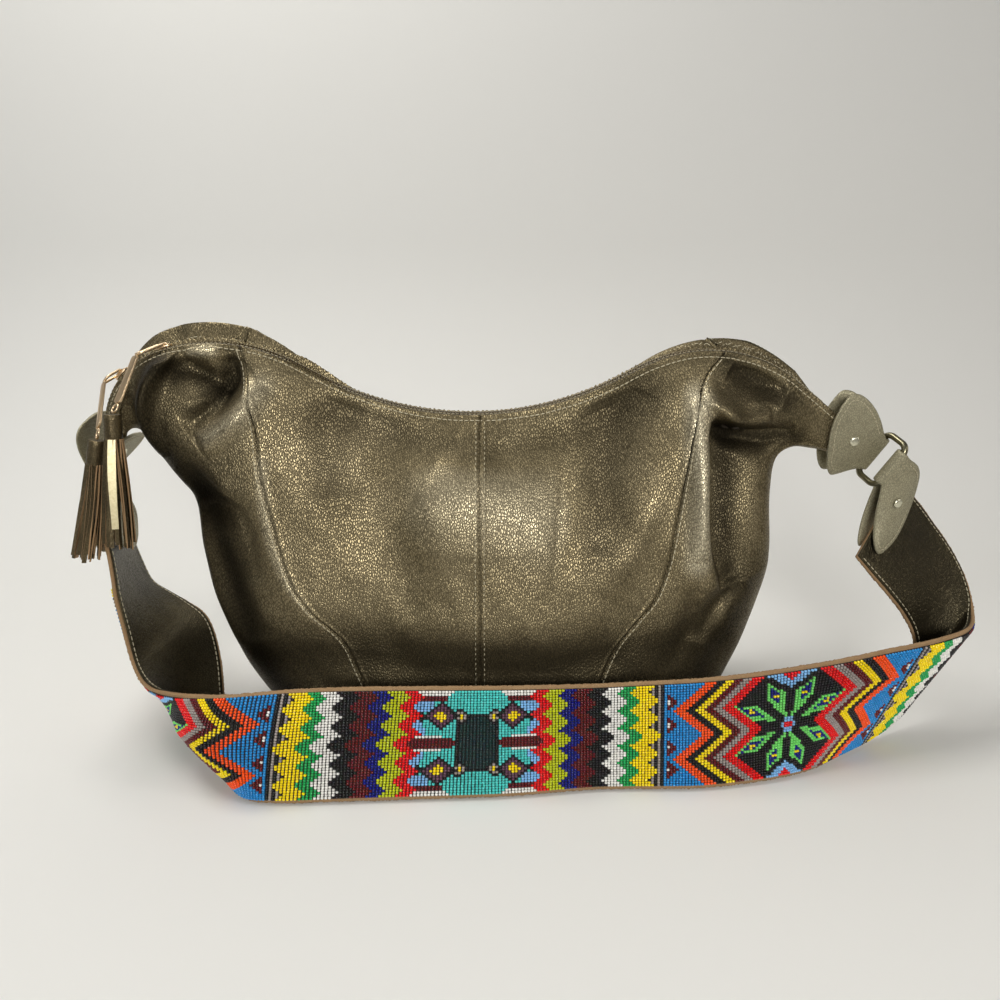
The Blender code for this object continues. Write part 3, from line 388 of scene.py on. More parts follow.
floorMaterial, _, _ = newMaterial("floorPaper", srgb(226, 225, 221), 0.0, 0.9)
floorRows = [(-0.50, 0.0), (0.22, 0.0)]
for i in range(1, 13):
    angle = math.pi / 2 * i / 12
    floorRows.append((0.22 + 0.32 * math.sin(angle), 0.32 - 0.32 * math.cos(angle)))
floorRows.append((0.54, 4.0))
floorMesh = bpy.data.meshes.new("floor")
floorPoints = [(x, y, z) for y, z in floorRows for x in (-4.0, 4.0)]
floorFaces = [(2 * i, 2 * i + 1, 2 * i + 3, 2 * i + 2) for i in range(len(floorRows) - 1)]
floorMesh.from_pydata(floorPoints, [], floorFaces)
floorItem = addObject("floor", floorMesh, None, [floorMaterial])
print("stage ready")

# The bag's surface, the same as the solid's but finer
bagSettings = {
    "baseLeft": 0.140, "baseRight": 0.135, "halfDepth": 0.056, "bodyLeft": 0.191, "bodyRight": 0.174,
    "bodyHeight": 0.200, "backRise": 0.027, "rimOffset": 0.0058, "endPower": 2.6, "rimPower": 60.0,
    "leftPinch": 0.05, "rightPinch": 0.11,
}
zipStart = (-0.2446, 0.1830, math.radians(79.7))
zipRuns = (
    (None, 0.0142), (0.0534, -math.radians(60.2)), (0.1016, -math.radians(47.7)), (None, 0.0161),
    (0.1975, math.radians(55.2)), (None, 0.0170), (0.0875, -math.radians(64.4)), (None, 0.0410),
)
leftSideShares = (
    (1.235, 0.905), (1.212, 0.95), (1.17, 0.955), (1.115, 0.885), (1.05, 0.80), (1.00, 0.725),
    (0.99, 0.575), (0.962, 0.415), (0.892, 0.25), (0.818, 0.12),
)
rightSideShares = (
    (1.20, 0.89), (1.13, 0.895), (1.05, 0.90), (0.992, 0.86),
    (0.983, 0.75), (1.00, 0.575), (0.983, 0.465), (0.931, 0.32), (0.856, 0.15),
)
leftSeamShares = (
    (-0.822, 1.25), (-0.760, 1.00), (-0.743, 0.835), (-0.668, 0.57), (-0.598, 0.455),
    (-0.498, 0.353), (-0.442, 0.222), (-0.340, 0.0),
)
rightSeamShares = (
    (0.805, 1.22), (0.700, 1.13), (0.657, 1.00), (0.629, 0.868), (0.579, 0.612),
    (0.536, 0.487), (0.470, 0.407), (0.406, 0.33), (0.346, 0.209), (0.259, 0.0),
)
middleSeamShare = -0.069
middleDepth = (
    (0.0, 0.10), (0.03, 0.15), (0.07, 0.22), (0.12, 0.31), (0.19, 0.44), (0.28, 0.60),
    (0.38, 0.74), (0.49, 0.85), (0.60, 0.94), (0.71, 1.0),
)
hornDepth = (
    (0.0, 0.10), (0.03, 0.27), (0.07, 0.36), (0.12, 0.42), (0.19, 0.47), (0.28, 0.54),
    (0.38, 0.64), (0.49, 0.76), (0.60, 0.88), (0.71, 0.97), (0.81, 1.0),
)
baseDepth = ((0.0, 0.86), (0.04, 0.96), (0.10, 1.0))
backRiseDown = ((0.0, 0.0), (0.03, 0.70), (0.07, 1.0), (0.12, 0.95), (0.19, 0.75), (0.28, 0.4), (0.38, 0.15),
                (0.49, 0.0))
backRiseAlong = (
    (0.0, 0.0), (0.02, 0.55), (0.05, 0.9), (0.12, 1.0), (0.20, 0.9), (0.28, 0.5), (0.36, 0.25),
    (0.60, 0.2), (0.68, 0.3), (0.76, 0.5), (0.86, 0.8), (0.93, 0.8), (0.98, 0.35), (1.0, 0.0),
)


# Distance, x, z and heading along the zip line
def zipTable(step=0.0005):
    x, z, heading = zipStart
    rows = [(0.0, x, z, heading)]
    travelled = 0.0
    for radius, size in zipRuns:
        length = size if radius is None else radius * abs(size)
        count = max(int(length / step), 1)
        for _ in range(count):
            turn = 0.0 if radius is None else size / count
            heading += turn / 2
            x += length / count * math.cos(heading)
            z += length / count * math.sin(heading)
            heading += turn / 2
            travelled += length / count
            rows.append((travelled, x, z, heading))
    return np.array(rows)


zipLine = zipTable()
zipLength = zipLine[-1, 0]


# Catmull-Rom points through rows of coordinates, evenly spread over the spans
def smoothCurve(points, count=400):
    points = np.array(points, float)
    spans = len(points) - 1
    place = np.linspace(0, spans, count)
    index = np.minimum(place.astype(int), spans - 1)
    t = (place - index)[:, None]
    p0 = points[np.maximum(index - 1, 0)]
    p1 = points[index]
    p2 = points[index + 1]
    p3 = points[np.minimum(index + 2, spans)]
    return (p1 + (p2 - p0) * t / 2 + (2 * p0 - 5 * p1 + 4 * p2 - p3) * t ** 2 / 2
            + (3 * p1 - p0 - 3 * p2 + p3) * t ** 3 / 2)


def lengthShares(curve):
    steps = np.linalg.norm(np.diff(curve, axis=0), axis=1)
    lengths = np.concatenate([[0.0], np.cumsum(steps)])
    return lengths / lengths[-1]


bodyHeight = bagSettings["bodyHeight"]
leftSide = smoothCurve(
    [zipLine[0, 1:3], *[(-bagSettings["bodyLeft"] * x, bodyHeight * z) for x, z in leftSideShares],
     (-bagSettings["baseLeft"], 0)])
rightSide = smoothCurve(
    [zipLine[-1, 1:3], *[(bagSettings["bodyRight"] * x, bodyHeight * z) for x, z in rightSideShares],
     (bagSettings["baseRight"], 0)])
leftLengths, rightLengths = lengthShares(leftSide), lengthShares(rightSide)


def table(rows, values):
    places, results = zip(*rows)
    return np.interp(values, places, results)


# x and z of the outline plane: across runs left to right, up from base to zip
def flatPoints(across, up):
    top = np.stack([np.interp(across * zipLength, zipLine[:, 0], zipLine[:, i]) for i in (1, 2)], -1)
    left = np.stack([np.interp(1 - up, leftLengths, leftSide[:, i]) for i in (0, 1)], -1)
    right = np.stack([np.interp(1 - up, rightLengths, rightSide[:, i]) for i in (0, 1)], -1)
    a, u = across[..., None], up[..., None]
    width = bagSettings["baseLeft"] + bagSettings["baseRight"]
    bottom = np.stack([-bagSettings["baseLeft"] + width * across, np.zeros_like(across)], -1)
    corners = ((leftSide[-1] * (1 - u) + leftSide[0] * u) * (1 - a)
               + (rightSide[-1] * (1 - u) + rightSide[0] * u) * a)
    return bottom * (1 - u) + top * u + left * (1 - a) + right * a - corners


def dropShares(flat):
    points = flat.reshape(-1, 2)
    line = zipLine[::6, 1:3]
    nearest = np.empty(len(points))
    for start in range(0, len(points), 20000):
        part = points[start:start + 20000]
        nearest[start:start + 20000] = np.sqrt(((part[:, None] - line[None]) ** 2).sum(-1)).min(1)
    return nearest.reshape(flat.shape[:-1]) / bodyHeight


def halfDepths(across, up, drop):
    edge = np.abs(2 * across - 1)
    horn = edge ** 2
    share = table(middleDepth, drop) * (1 - horn) + table(hornDepth, drop) * horn
    share = share * table(baseDepth, up)
    rim = bagSettings["rimOffset"] * np.maximum(1 - edge ** bagSettings["rimPower"], 0)
    swell = np.maximum(1 - edge ** bagSettings["endPower"], 0) ** (1 / bagSettings["endPower"])
    nearEnd = np.minimum(np.minimum(across / bagSettings["leftPinch"],
                                    (1 - across) / bagSettings["rightPinch"]), 1)
    pinch = 1 - np.interp(up, (0.70, 0.85), (0.0, 1.0)) * (1 - nearEnd)
    return rim + np.maximum(share * bagSettings["halfDepth"] - bagSettings["rimOffset"], 0) * swell * pinch


def seamAcross(shares, width, up):
    curve = smoothCurve([(bodyHeight * z, width * x) for x, z in shares[::-1]])
    low, high = np.zeros_like(up), np.ones_like(up)
    for _ in range(24):
        middle = (low + high) / 2
        flat = flatPoints(middle, up)
        below = flat[..., 0] < np.interp(flat[..., 1], curve[:, 0], curve[:, 1])
        low, high = np.where(below, middle, low), np.where(below, high, middle)
    return (low + high) / 2


seamUps = np.linspace(0, 1, 241)
seamTables = {
    "left": seamAcross(leftSeamShares, bagSettings["bodyLeft"], seamUps),
    "middle": seamAcross(((middleSeamShare, 2.0), (middleSeamShare, 0.0)), bagSettings["bodyRight"], seamUps),
    "right": seamAcross(rightSeamShares, bagSettings["bodyRight"], seamUps),
}


def seamAt(word, up):
    if word in ("start", "end"):
        return np.full_like(up, 0.0 if word == "start" else 1.0)
    return np.interp(up, seamUps, seamTables[word])


# How far each (x, z) point lies from a polyline, on which side of it, and how far along it
def lineDistance(points, line):
    best = np.full(points.shape[:-1], 9.0)
    along = np.zeros(points.shape[:-1])
    sides = np.zeros(points.shape[:-1])
    count = len(line) - 1
    for i in range(count):
        start, step = line[i], line[i + 1] - line[i]
        share = np.clip(((points - start) @ step) / (step @ step), 0, 1)
        gap = points - start - share[..., None] * step
        distance = np.linalg.norm(gap, axis=-1)
        closer = distance < best
        best = np.where(closer, distance, best)
        along = np.where(closer, (i + share) / count, along)
        sides = np.where(closer, np.sign(step[0] * gap[..., 1] - step[1] * gap[..., 0]), sides)
    return best, sides, along


# x and z in the plane y = -depth that a place in the picture looks at
def frontToOutline(column, row, depth):
    reach = 0.46 - depth
    pitch = math.radians(cameraSettings["pitch"])
    rise = math.atan((row - 500) / 750)
    z = 0.284 - reach * math.tan(pitch + rise)
    x = reach * ((column - 500) / 750) / (math.cos(pitch) - math.sin(pitch) * (row - 500) / 750)
    return x, z


# Folds of the front: places in the picture, depth there, widths left and right of the run, height
foldLines = {
    "leftLip": ([(168, 350), (153, 368), (144, 396), (145, 430), (160, 458)], 0.020, 0.0062, 0.0052, 0.0110),
    "leftPocket": ([(160, 362), (182, 374), (206, 384), (226, 396)], 0.026, 0.0075, 0.0095, -0.0110),
    "leftValley": ([(210, 350), (222, 380), (212, 408), (180, 434)], 0.030, 0.0090, 0.0070, -0.0100),
    "leftTop": ([(176, 350), (198, 348), (226, 356)], 0.018, 0.0050, 0.0050, 0.0050),
    "leftRidge": ([(250, 388), (226, 420), (192, 446)], 0.032, 0.0085, 0.0085, 0.0070),
    "leftWaist": ([(170, 470), (204, 500), (240, 524), (258, 580)], 0.036, 0.0060, 0.0130, -0.0065),
    "leftBack": ([(196, 510), (222, 580), (256, 640)], 0.040, 0.0120, 0.0090, -0.0070),
    "hornDip": ([(738, 366), (764, 384), (792, 398)], 0.020, 0.0110, 0.0120, -0.0080),
    "hornLip": ([(704, 396), (726, 411), (748, 428), (782, 422)], 0.028, 0.0070, 0.0045, 0.0085),
    "hornCrease": ([(712, 430), (738, 438), (772, 442), (810, 440)], 0.030, 0.0055, 0.0080, -0.0100),
    "rightHollow": ([(722, 424), (716, 470), (713, 530), (722, 588)], 0.036, 0.0230, 0.0022, -0.0230),
    "rightRidge": ([(706, 404), (704, 480), (699, 560)], 0.040, 0.0075, 0.0060, 0.0070),
    "rightFootA": ([(752, 590), (722, 606), (698, 644)], 0.046, 0.0070, 0.0080, -0.0050),
    "rightFootB": ([(742, 564), (716, 588), (696, 606)], 0.046, 0.0065, 0.0065, 0.0020),
    "rightFootC": ([(700, 590), (688, 630), (664, 676)], 0.048, 0.0075, 0.0065, -0.0035),
    "leftDent": ([(352, 396), (318, 436), (322, 500)], 0.036, 0.0150, 0.0130, -0.0040),
    "leftSweep": ([(392, 430), (372, 520), (420, 620)], 0.050, 0.0200, 0.0160, -0.0034),
    "middleBelly": ([(430, 480), (480, 510), (560, 520)], 0.045, 0.0330, 0.0330, 0.0050),
    "rightBand": ([(648, 396), (612, 470), (600, 560)], 0.048, 0.0180, 0.0140, -0.0050),
    "rightSweep": ([(676, 440), (652, 520), (606, 600)], 0.050, 0.0110, 0.0130, 0.0030),
    "saddleSag": ([(330, 412), (410, 446), (486, 456), (560, 440), (640, 398)], 0.020, 0.0110, 0.0110,
                  -0.0020),
    "footSag": ([(300, 640), (420, 664), (560, 664), (660, 630)], 0.050, 0.0160, 0.0160, -0.0040),
}


def foldOffsets(flat):
    offset = np.zeros(flat.shape[:-1])
    for places, depth, leftWidth, rightWidth, height in foldLines.values():
        line = smoothCurve([frontToOutline(column, row, depth) for column, row in places], 5 * len(places))
        distance, side, along = lineDistance(flat, line)
        fade = np.sin(np.pi * np.clip(along, 0.001, 0.999)) ** 0.6
        width = np.where(side > 0, leftWidth, rightWidth)
        offset += height * np.exp(-(distance / width) ** 2) * fade
    return offset


# Slow uneven waves of soft leather, different at the front and the back
def slump(flat, side):
    wave = np.zeros(flat.shape[:-1])
    rng = np.random.default_rng(5 if side < 0 else 9)
    for length, height in ((0.130, 0.0016), (0.080, 0.0008), (0.046, 0.00035), (0.031, 0.00022),
                           (0.019, 0.00014)):
        for _ in range(3):
            angle, phase = rng.uniform(-0.9, 0.9), rng.uniform(0, 2 * np.pi)
            run = flat[..., 0] * math.cos(angle) + flat[..., 1] * math.sin(angle)
            wave += height / 1.7 * np.sin(2 * np.pi * run / length + phase)
    return wave


# Points of the leather's outer face; side is -1 at the front and 1 at the back
def surface(across, up, side, folds=True):
    flat = flatPoints(across, up)
    drop = dropShares(flat)
    depth = halfDepths(across, up, drop)
    if folds:
        bend = foldOffsets(flat) * (1.0 if side < 0 else 0.3)
        bend = bend * np.where(bend > 0, np.clip(drop / 0.03, 0, 1),
                               np.clip(drop / 0.04, 0, 1) * np.clip(depth / 0.012, 0, 1))
        depth = np.maximum(depth + bend + slump(flat, side) * np.clip(drop / 0.06, 0, 1),
                           np.minimum(depth, 0.0045))
    z = flat[..., 1].copy()
    if side > 0:
        z += bagSettings["backRise"] * table(backRiseAlong, across) * table(backRiseDown, drop)
    return np.stack([flat[..., 0], side * depth, z], -1)


# Normals of a grid of points; the sign is as the grid runs
def gridNormals(points):
    rows = np.gradient(points, axis=0)
    columns = np.gradient(points, axis=1)
    normal = np.cross(columns, rows)
    length = np.linalg.norm(normal, axis=-1, keepdims=True)
    return normal / np.maximum(length, 1e-12)


# Painted shade, or below 0 painted highlight, on the leather: places in the picture, depth there, width,
# share
paintedShadeAndHighlightLines = {
    "leftEdge": ([(150, 372), (141, 400), (147, 432), (166, 462), (206, 500)], 0.024, 0.0130, 0.85),
    "leftPocket": ([(162, 364), (184, 377), (216, 389)], 0.016, 0.0075, 0.65),
    "leftValley": ([(221, 358), (221, 388), (194, 414)], 0.022, 0.0070, 0.70),
    "leftTop": ([(184, 356), (200, 352), (214, 356)], 0.020, 0.0050, -0.45),
    "leftRidge": ([(250, 392), (236, 416), (200, 440)], 0.032, 0.0075, -0.45),
    "leftBack": ([(196, 500), (222, 560), (244, 620), (290, 690)], 0.036, 0.0180, 0.85),
    "leftSeam": ([(252, 470), (262, 530), (286, 580), (322, 622), (352, 670)], 0.045, 0.0040, -0.30),
    "hornDip": ([(738, 368), (764, 386), (786, 400)], 0.012, 0.0120, 0.75),
    "hornTop": ([(736, 358), (760, 366), (784, 382)], 0.012, 0.0030, -0.30),
    "hornCrease": ([(722, 434), (750, 440), (806, 442)], 0.020, 0.0065, 0.70),
    "rightHollow": ([(728, 436), (727, 470), (722, 520), (724, 574)], 0.014, 0.0095, 0.80),
    "rightHollowTop": ([(730, 446), (758, 452)], 0.016, 0.0100, 0.55),
    "rightRidge": ([(707, 404), (705, 480), (698, 560)], 0.040, 0.0075, -0.80),
    "rightWall": ([(752, 470), (750, 530), (736, 590)], 0.036, 0.0100, -0.20),
    "rightFoot": ([(760, 590), (728, 640), (700, 680)], 0.046, 0.0130, 0.60),
    "belly": ([(450, 500), (500, 515), (560, 530)], 0.050, 0.0240, -0.30),
    "rightBand": ([(650, 400), (614, 470), (600, 550)], 0.048, 0.0180, 0.50),
    "saddle": ([(330, 410), (410, 440), (486, 450), (570, 432), (650, 392)], 0.020, 0.0110, 0.35),
    "foot": ([(300, 640), (400, 668), (500, 672), (600, 664), (680, 640)], 0.050, 0.0240, 0.34),
    "dent": ([(306, 428), (318, 448), (330, 500)], 0.036, 0.0140, 0.25),
}


# Per point, the share of painted shade, or below 0 of painted highlight: in the fold hollows, along the lines
# and towards the base at the front, and only towards the base at the back
def paintedShadeAndHighlightShares(points):
    flat = points[..., (0, 2)]
    front = points[..., 1] < 0
    # Painted shade in the hollows of the folds
    left = np.clip(-foldOffsets(flat) / 0.016, 0, 1) * 0.35
    keep, bright = 1 - left, np.zeros_like(left)
    # Painted shade along lines with a positive share, painted highlight along lines with a negative share
    for places, depth, width, share in paintedShadeAndHighlightLines.values():
        line = smoothCurve([frontToOutline(column, row, depth) for column, row in places], 4 * len(places))
        spread = abs(share) * np.exp(-(lineDistance(flat, line)[0] / width) ** 2)
        if share > 0:
            keep *= 1 - spread
        else:
            bright = np.maximum(bright, spread)
    # Painted shade towards the base
    low = np.clip((0.075 - flat[..., 1]) / 0.075, 0, 1) ** 1.2 * 0.38
    return np.where(front, (1 - keep * (1 - low)) - bright * (1 - low), low)


# A mesh through a grid of points, with a UV map in metres when given
def gridMesh(name, points, flip=False, closedColumns=False, uv=None):
    rows, columns = points.shape[:2]
    index = np.arange(rows * columns).reshape(rows, columns)
    if closedColumns:
        index = np.concatenate([index, index[:, :1]], 1)
    quads = np.stack([index[:-1, :-1], index[:-1, 1:], index[1:, 1:], index[1:, :-1]], -1).reshape(-1, 4)
    if flip:
        quads = quads[:, ::-1]
    mesh = bpy.data.meshes.new(name)
    mesh.from_pydata(points.reshape(-1, 3).tolist(), [], quads.tolist())
    if uv is not None:
        layer = mesh.uv_layers.new(name="UVMap")
        loops = quads.reshape(-1)
        layer.data.foreach_set("uv", uv.reshape(-1, 2)[loops].astype(np.float32).reshape(-1))
    mesh.update()
    return mesh


panelSettings = {
    "columns": 120, "gussetColumns": 150, "rows": 150, "seamDip": 0.0011, "seamWidth": 0.0012,
    "lapRise": 0.0007, "lapWidth": 0.0030, "puckerLength": 0.0034, "pucker": 0.00016, "rimRoll": 0.0009,
}
# name: (first edge, last edge, sides, replaced node)
panelPlan = {
    "frontLeftPanel": ("left", "middle", (-1,), "front_left_panel"),
    "frontRightPanel": ("middle", "right", (-1,), "front_right_panel"),
    "backLeftPanel": ("left", "middle", (1,), "back_left_panel"),
    "backRightPanel": ("middle", "right", (1,), "back_right_panel"),
    "leftGusset": ("left", "start", (-1, 1), "left_gusset"),
    "rightGusset": ("right", "end", (-1, 1), "right_gusset"),
}


# Outer points of a panel, rows from the rim to the base; a gusset wraps from front to back
def panelGrid(first, last, sides):
    settings = panelSettings
    ups = 1 - np.linspace(0, 1, settings["rows"]) ** 1.15
    count = settings["columns"] if len(sides) == 1 else settings["gussetColumns"]
    if len(sides) == 1:
        share = np.linspace(0, 1, count)
    else:
        share = np.sin(np.pi / 2 * np.linspace(0, 1, count))
    upGrid, shareGrid = np.meshgrid(ups, share, indexing="ij")
    begin, finish = seamAt(first, upGrid), seamAt(last, upGrid)
    across = begin + (finish - begin) * shareGrid
    parts = []
    for side in sides:
        points = surface(across, upGrid, side)
        near = np.linalg.norm(points - points[:, :1], axis=-1)
        if len(sides) == 1:
            near = np.minimum(near, np.linalg.norm(points - points[:, -1:], axis=-1))
        outward = gridNormals(points)
        outward *= np.where((outward[..., 1:2] * side) < 0, -1.0, 1.0)
        lift = -settings["seamDip"] * np.exp(-(near / settings["seamWidth"]) ** 2)
        if len(sides) == 1:
            lift += settings["lapRise"] * np.exp(-(near / settings["lapWidth"]) ** 4)
        run = np.concatenate([np.zeros((1, count)),
                              np.cumsum(np.linalg.norm(np.diff(points, axis=0), axis=-1), 0)])
        wave = np.cos(2 * np.pi * run / settings["puckerLength"])
        lift += settings["pucker"] * wave * np.exp(-(near / 0.004) ** 2)
        parts.append(points + outward * lift[..., None])
    grid = parts[0]
    if len(parts) == 2:
        grid = np.concatenate([parts[0], parts[1][:, -2::-1]], 1)
    return grid


# Adds the rolled rim above and the flat base below
def finishPanel(grid):
    roll = panelSettings["rimRoll"]
    towards = -np.sign(grid[:1, :, 1:2])
    inward = np.concatenate([np.zeros_like(towards), towards, np.zeros_like(towards)], -1)
    upward = np.array([0.0, 0.0, 1.0])
    rim = grid[:1]
    rolled = [rim + inward * roll * 2.1 - upward * roll * 4, rim + inward * roll * 1.9,
              rim + inward * roll * 1.0 + upward * roll * 0.8,
              rim + inward * roll * 0.2 + upward * roll * 0.45]
    base = grid[-1:]
    target = np.abs(base[..., 1:2]) * 0.2
    floorRows = []
    for share in (0.25, 0.5, 0.75, 1.0):
        row = base.copy()
        row[..., 1:2] += (target - base[..., 1:2]) * share
        floorRows.append(row)
    return np.concatenate([*rolled, grid, *floorRows], 0)


for name, (first, last, sides, node) in panelPlan.items():
    grid = finishPanel(panelGrid(first, last, sides))
    outwardRun = (sides[0] < 0) == (name not in ("leftGusset",))
    mesh = gridMesh(name, grid, flip=outwardRun)
    # Each leather panel carries its painted shade and painted highlight shares as a point attribute
    paintedShadeAndHighlight = mesh.attributes.new("paintedShadeAndHighlight", "FLOAT", "POINT")
    paintedShadeAndHighlight.data.foreach_set("value", paintedShadeAndHighlightShares(grid).reshape(-1).astype(np.float32))
    item = addObject(name, mesh, "bag", [bodyLeather])
    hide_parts(node)
print("leather shell ready")

# Strap: the solid's stations again, as (top edge, bottom edge) shares of its reach
strapSettings = {
    "reach": 0.306, "lift": 0.00005, "bow": 0.016, "rows": 520, "columns": 26,
}
strapStations = (
    ((-0.789, -0.095, 0.418), (-0.845, 0.101, 0.392)),
    ((-0.784, -0.098, 0.386), (-0.837, 0.101, 0.353)),
    ((-0.778, -0.108, 0.340), (-0.820, 0.095, 0.301)),
    ((-0.773, -0.118, 0.302), (-0.798, 0.087, 0.253)),
    ((-0.758, -0.134, 0.242), (-0.757, 0.074, 0.234)),
    ((-0.740, -0.157, 0.191), (-0.703, 0.051, 0.217)),
    ((-0.709, -0.196, 0.168), (-0.649, 0.020, 0.193)),
    ((-0.670, -0.234, 0.167), (-0.611, -0.033, 0.131)),
    ((-0.621, -0.258, 0.173), (-0.580, -0.114, 0.062)),
    ((-0.559, -0.273, 0.178), (-0.539, -0.229, 0.020)),
    ((-0.490, -0.278, 0.181), (-0.482, -0.327, 0.003)),
    ((-0.392, -0.278, 0.191), (-0.417, -0.350, 0.003)),
    ((-0.294, -0.278, 0.196), (-0.301, -0.347, 0.003)),
    ((-0.163, -0.278, 0.198), (-0.184, -0.342, 0.003)),
    ((0.000, -0.278, 0.199), (0.000, -0.333, 0.003)),
    ((0.098, -0.273, 0.198), (0.098, -0.322, 0.003)),
    ((0.187, -0.265, 0.196), (0.187, -0.312, 0.003)),
    ((0.294, -0.261, 0.200), (0.294, -0.311, 0.003)),
    ((0.380, -0.257, 0.203), (0.380, -0.309, 0.003)),
    ((0.477, -0.248, 0.209), (0.484, -0.292, 0.003)),
    ((0.572, -0.235, 0.217), (0.556, -0.273, 0.003)),
    ((0.657, -0.222, 0.225), (0.614, -0.250, 0.003)),
    ((0.745, -0.203, 0.234), (0.667, -0.217, 0.003)),
    ((0.822, -0.186, 0.240), (0.725, -0.183, 0.004)),
    ((0.884, -0.167, 0.245), (0.784, -0.150, 0.013)),
    ((0.935, -0.141, 0.246), (0.837, -0.121, 0.036)),
    ((0.969, -0.105, 0.245), (0.868, -0.098, 0.072)),
    ((0.992, -0.065, 0.253), (0.879, -0.085, 0.121)),
    ((1.000, -0.033, 0.278), (0.876, -0.078, 0.170)),
    ((0.993, 0.000, 0.319), (0.863, -0.074, 0.212)),
    ((0.967, 0.016, 0.366), (0.837, -0.070, 0.252)),
    ((0.928, 0.020, 0.415), (0.804, -0.066, 0.291)),
    ((0.882, 0.014, 0.467), (0.771, -0.060, 0.327)),
    ((0.832, 0.004, 0.516), (0.737, -0.050, 0.366)),
)
bowShares = (
    (0.14, 0.0), (0.17, 0.15), (0.20, 0.5), (0.23, 0.85), (0.26, 1.0), (0.29, 0.85), (0.32, 0.5),
    (0.35, 0.15), (0.38, 0.0),
)


# Edges, middle surface and ways of the strap at even steps along it
def makeStrapFrame():
    count = 1651
    tops = smoothCurve([top for top, _ in strapStations], count) * strapSettings["reach"]
    bottoms = smoothCurve([bottom for _, bottom in strapStations], count) * strapSettings["reach"]
    kernel = np.exp(-np.linspace(-2.2, 2.2, 61) ** 2)
    kernel /= kernel.sum()
    soft = []
    for edge in (bottoms, tops):
        padded = np.concatenate([2 * edge[:1] - edge[30:0:-1], edge, 2 * edge[-1:] - edge[-2:-32:-1]])
        soft.append(np.stack([np.convolve(padded[:, i], kernel, "valid") for i in range(3)], -1))
    bottoms, tops = soft
    places = np.linspace(0, 1, count)
    middle = (bottoms + tops) / 2
    lengths = np.concatenate([[0.0], np.cumsum(np.linalg.norm(np.diff(middle, axis=0), axis=1))])
    return places, bottoms, tops, lengths


strapPlaces, strapBottoms, strapTops, strapLengths = makeStrapFrame()
strapLength = strapLengths[-1]


# Strap points at distances along it and shares across it, from its lower edge to its upper
def strapPoints(distance, across):
    place = np.interp(distance, strapLengths, strapPlaces)
    bottom = np.stack([np.interp(place, strapPlaces, strapBottoms[:, i]) for i in range(3)], -1)
    top = np.stack([np.interp(place, strapPlaces, strapTops[:, i]) for i in range(3)], -1)
    ahead = np.stack([
        np.interp(place + 0.01, strapPlaces, strapBottoms[:, i] + strapTops[:, i]) for i in range(3)], -1)
    bow = np.cross(top - bottom, ahead - top - bottom)
    bow /= np.maximum(np.linalg.norm(bow, axis=-1, keepdims=True), 1e-9)
    bow *= -strapSettings["bow"] * (table(bowShares, place) * np.sin(np.pi * across))[..., None]
    points = bottom + (top - bottom) * across[..., None] + bow
    points[..., 2] += strapSettings["lift"]
    return points


def strapGrid(first, last, rows, across):
    distance, share = np.meshgrid(np.linspace(first, last, rows), np.asarray(across), indexing="ij")
    points = strapPoints(distance, share)
    step = 0.0006
    along = (strapPoints(np.minimum(distance + step, strapLength), share)
             - strapPoints(np.maximum(distance - step, 0), share))
    wide = (strapPoints(distance, np.minimum(share + 0.01, 1))
            - strapPoints(distance, np.maximum(share - 0.01, 0)))
    along /= np.linalg.norm(along, axis=-1, keepdims=True)
    wide /= np.linalg.norm(wide, axis=-1, keepdims=True)
    normal = np.cross(along, wide)
    normal /= np.linalg.norm(normal, axis=-1, keepdims=True)
    return points, along, wide, normal


# The beads face the side of the strap that is turned to the viewer at its front
_, _, _, frontNormal = strapGrid(strapLength * 0.45, strapLength * 0.46, 2, [0.5])
beadSide = -1.0 if frontNormal[0, 0, 1] > 0 else 1.0


# A layer of the strap as a closed slab between two heights, with rounded or rough edges
def strapSlab(name, first, last, rows, columns, edge, low, high, rough, body):
    across = np.linspace(edge, 1 - edge, columns)
    points, _, wide, normal = strapGrid(first, last, rows, across)
    rng = np.random.default_rng(11)
    middle, half = (low + high) / 2, (high - low) / 2
    loops = [points + normal * high]
    for end, sign in ((-1, 1.0), (0, -1.0)):
        ring = []
        for angle in (45, 0, -45):
            a = math.radians(angle)
            swell = half * (0.55 + rough * 900 * (0.25 - 0.15 * abs(angle) / 45))
            jitter = rng.normal(0, rough, (rows, 1, 1)) + rng.normal(0, rough * 0.5, (rows, 1, 1))
            out = wide[:, end:][:, :1] * sign if end == -1 else wide[:, :1] * sign
            at = points[:, -1:] if end == -1 else points[:, :1]
            up = normal[:, -1:] if end == -1 else normal[:, :1]
            spread = swell * math.cos(a) + jitter
            ring.append(at + out * spread + up * (middle + half * math.sin(a) * 1.05 + jitter * 0.3))
        if end == -1:
            loops += ring
            loops.append((points + normal * low)[:, ::-1])
        else:
            loops += ring[::-1]
    grid = np.concatenate(loops, 1)
    mesh = gridMesh(name, grid, flip=False, closedColumns=True)
    shape = shapeOf(mesh)
    width = grid.shape[1]
    for start in (0, (rows - 1) * width):
        shape.faces.new([shape.verts[start + i] for i in range(width)])
    keepShape(shape, mesh)
    return addObject(name, mesh, body)


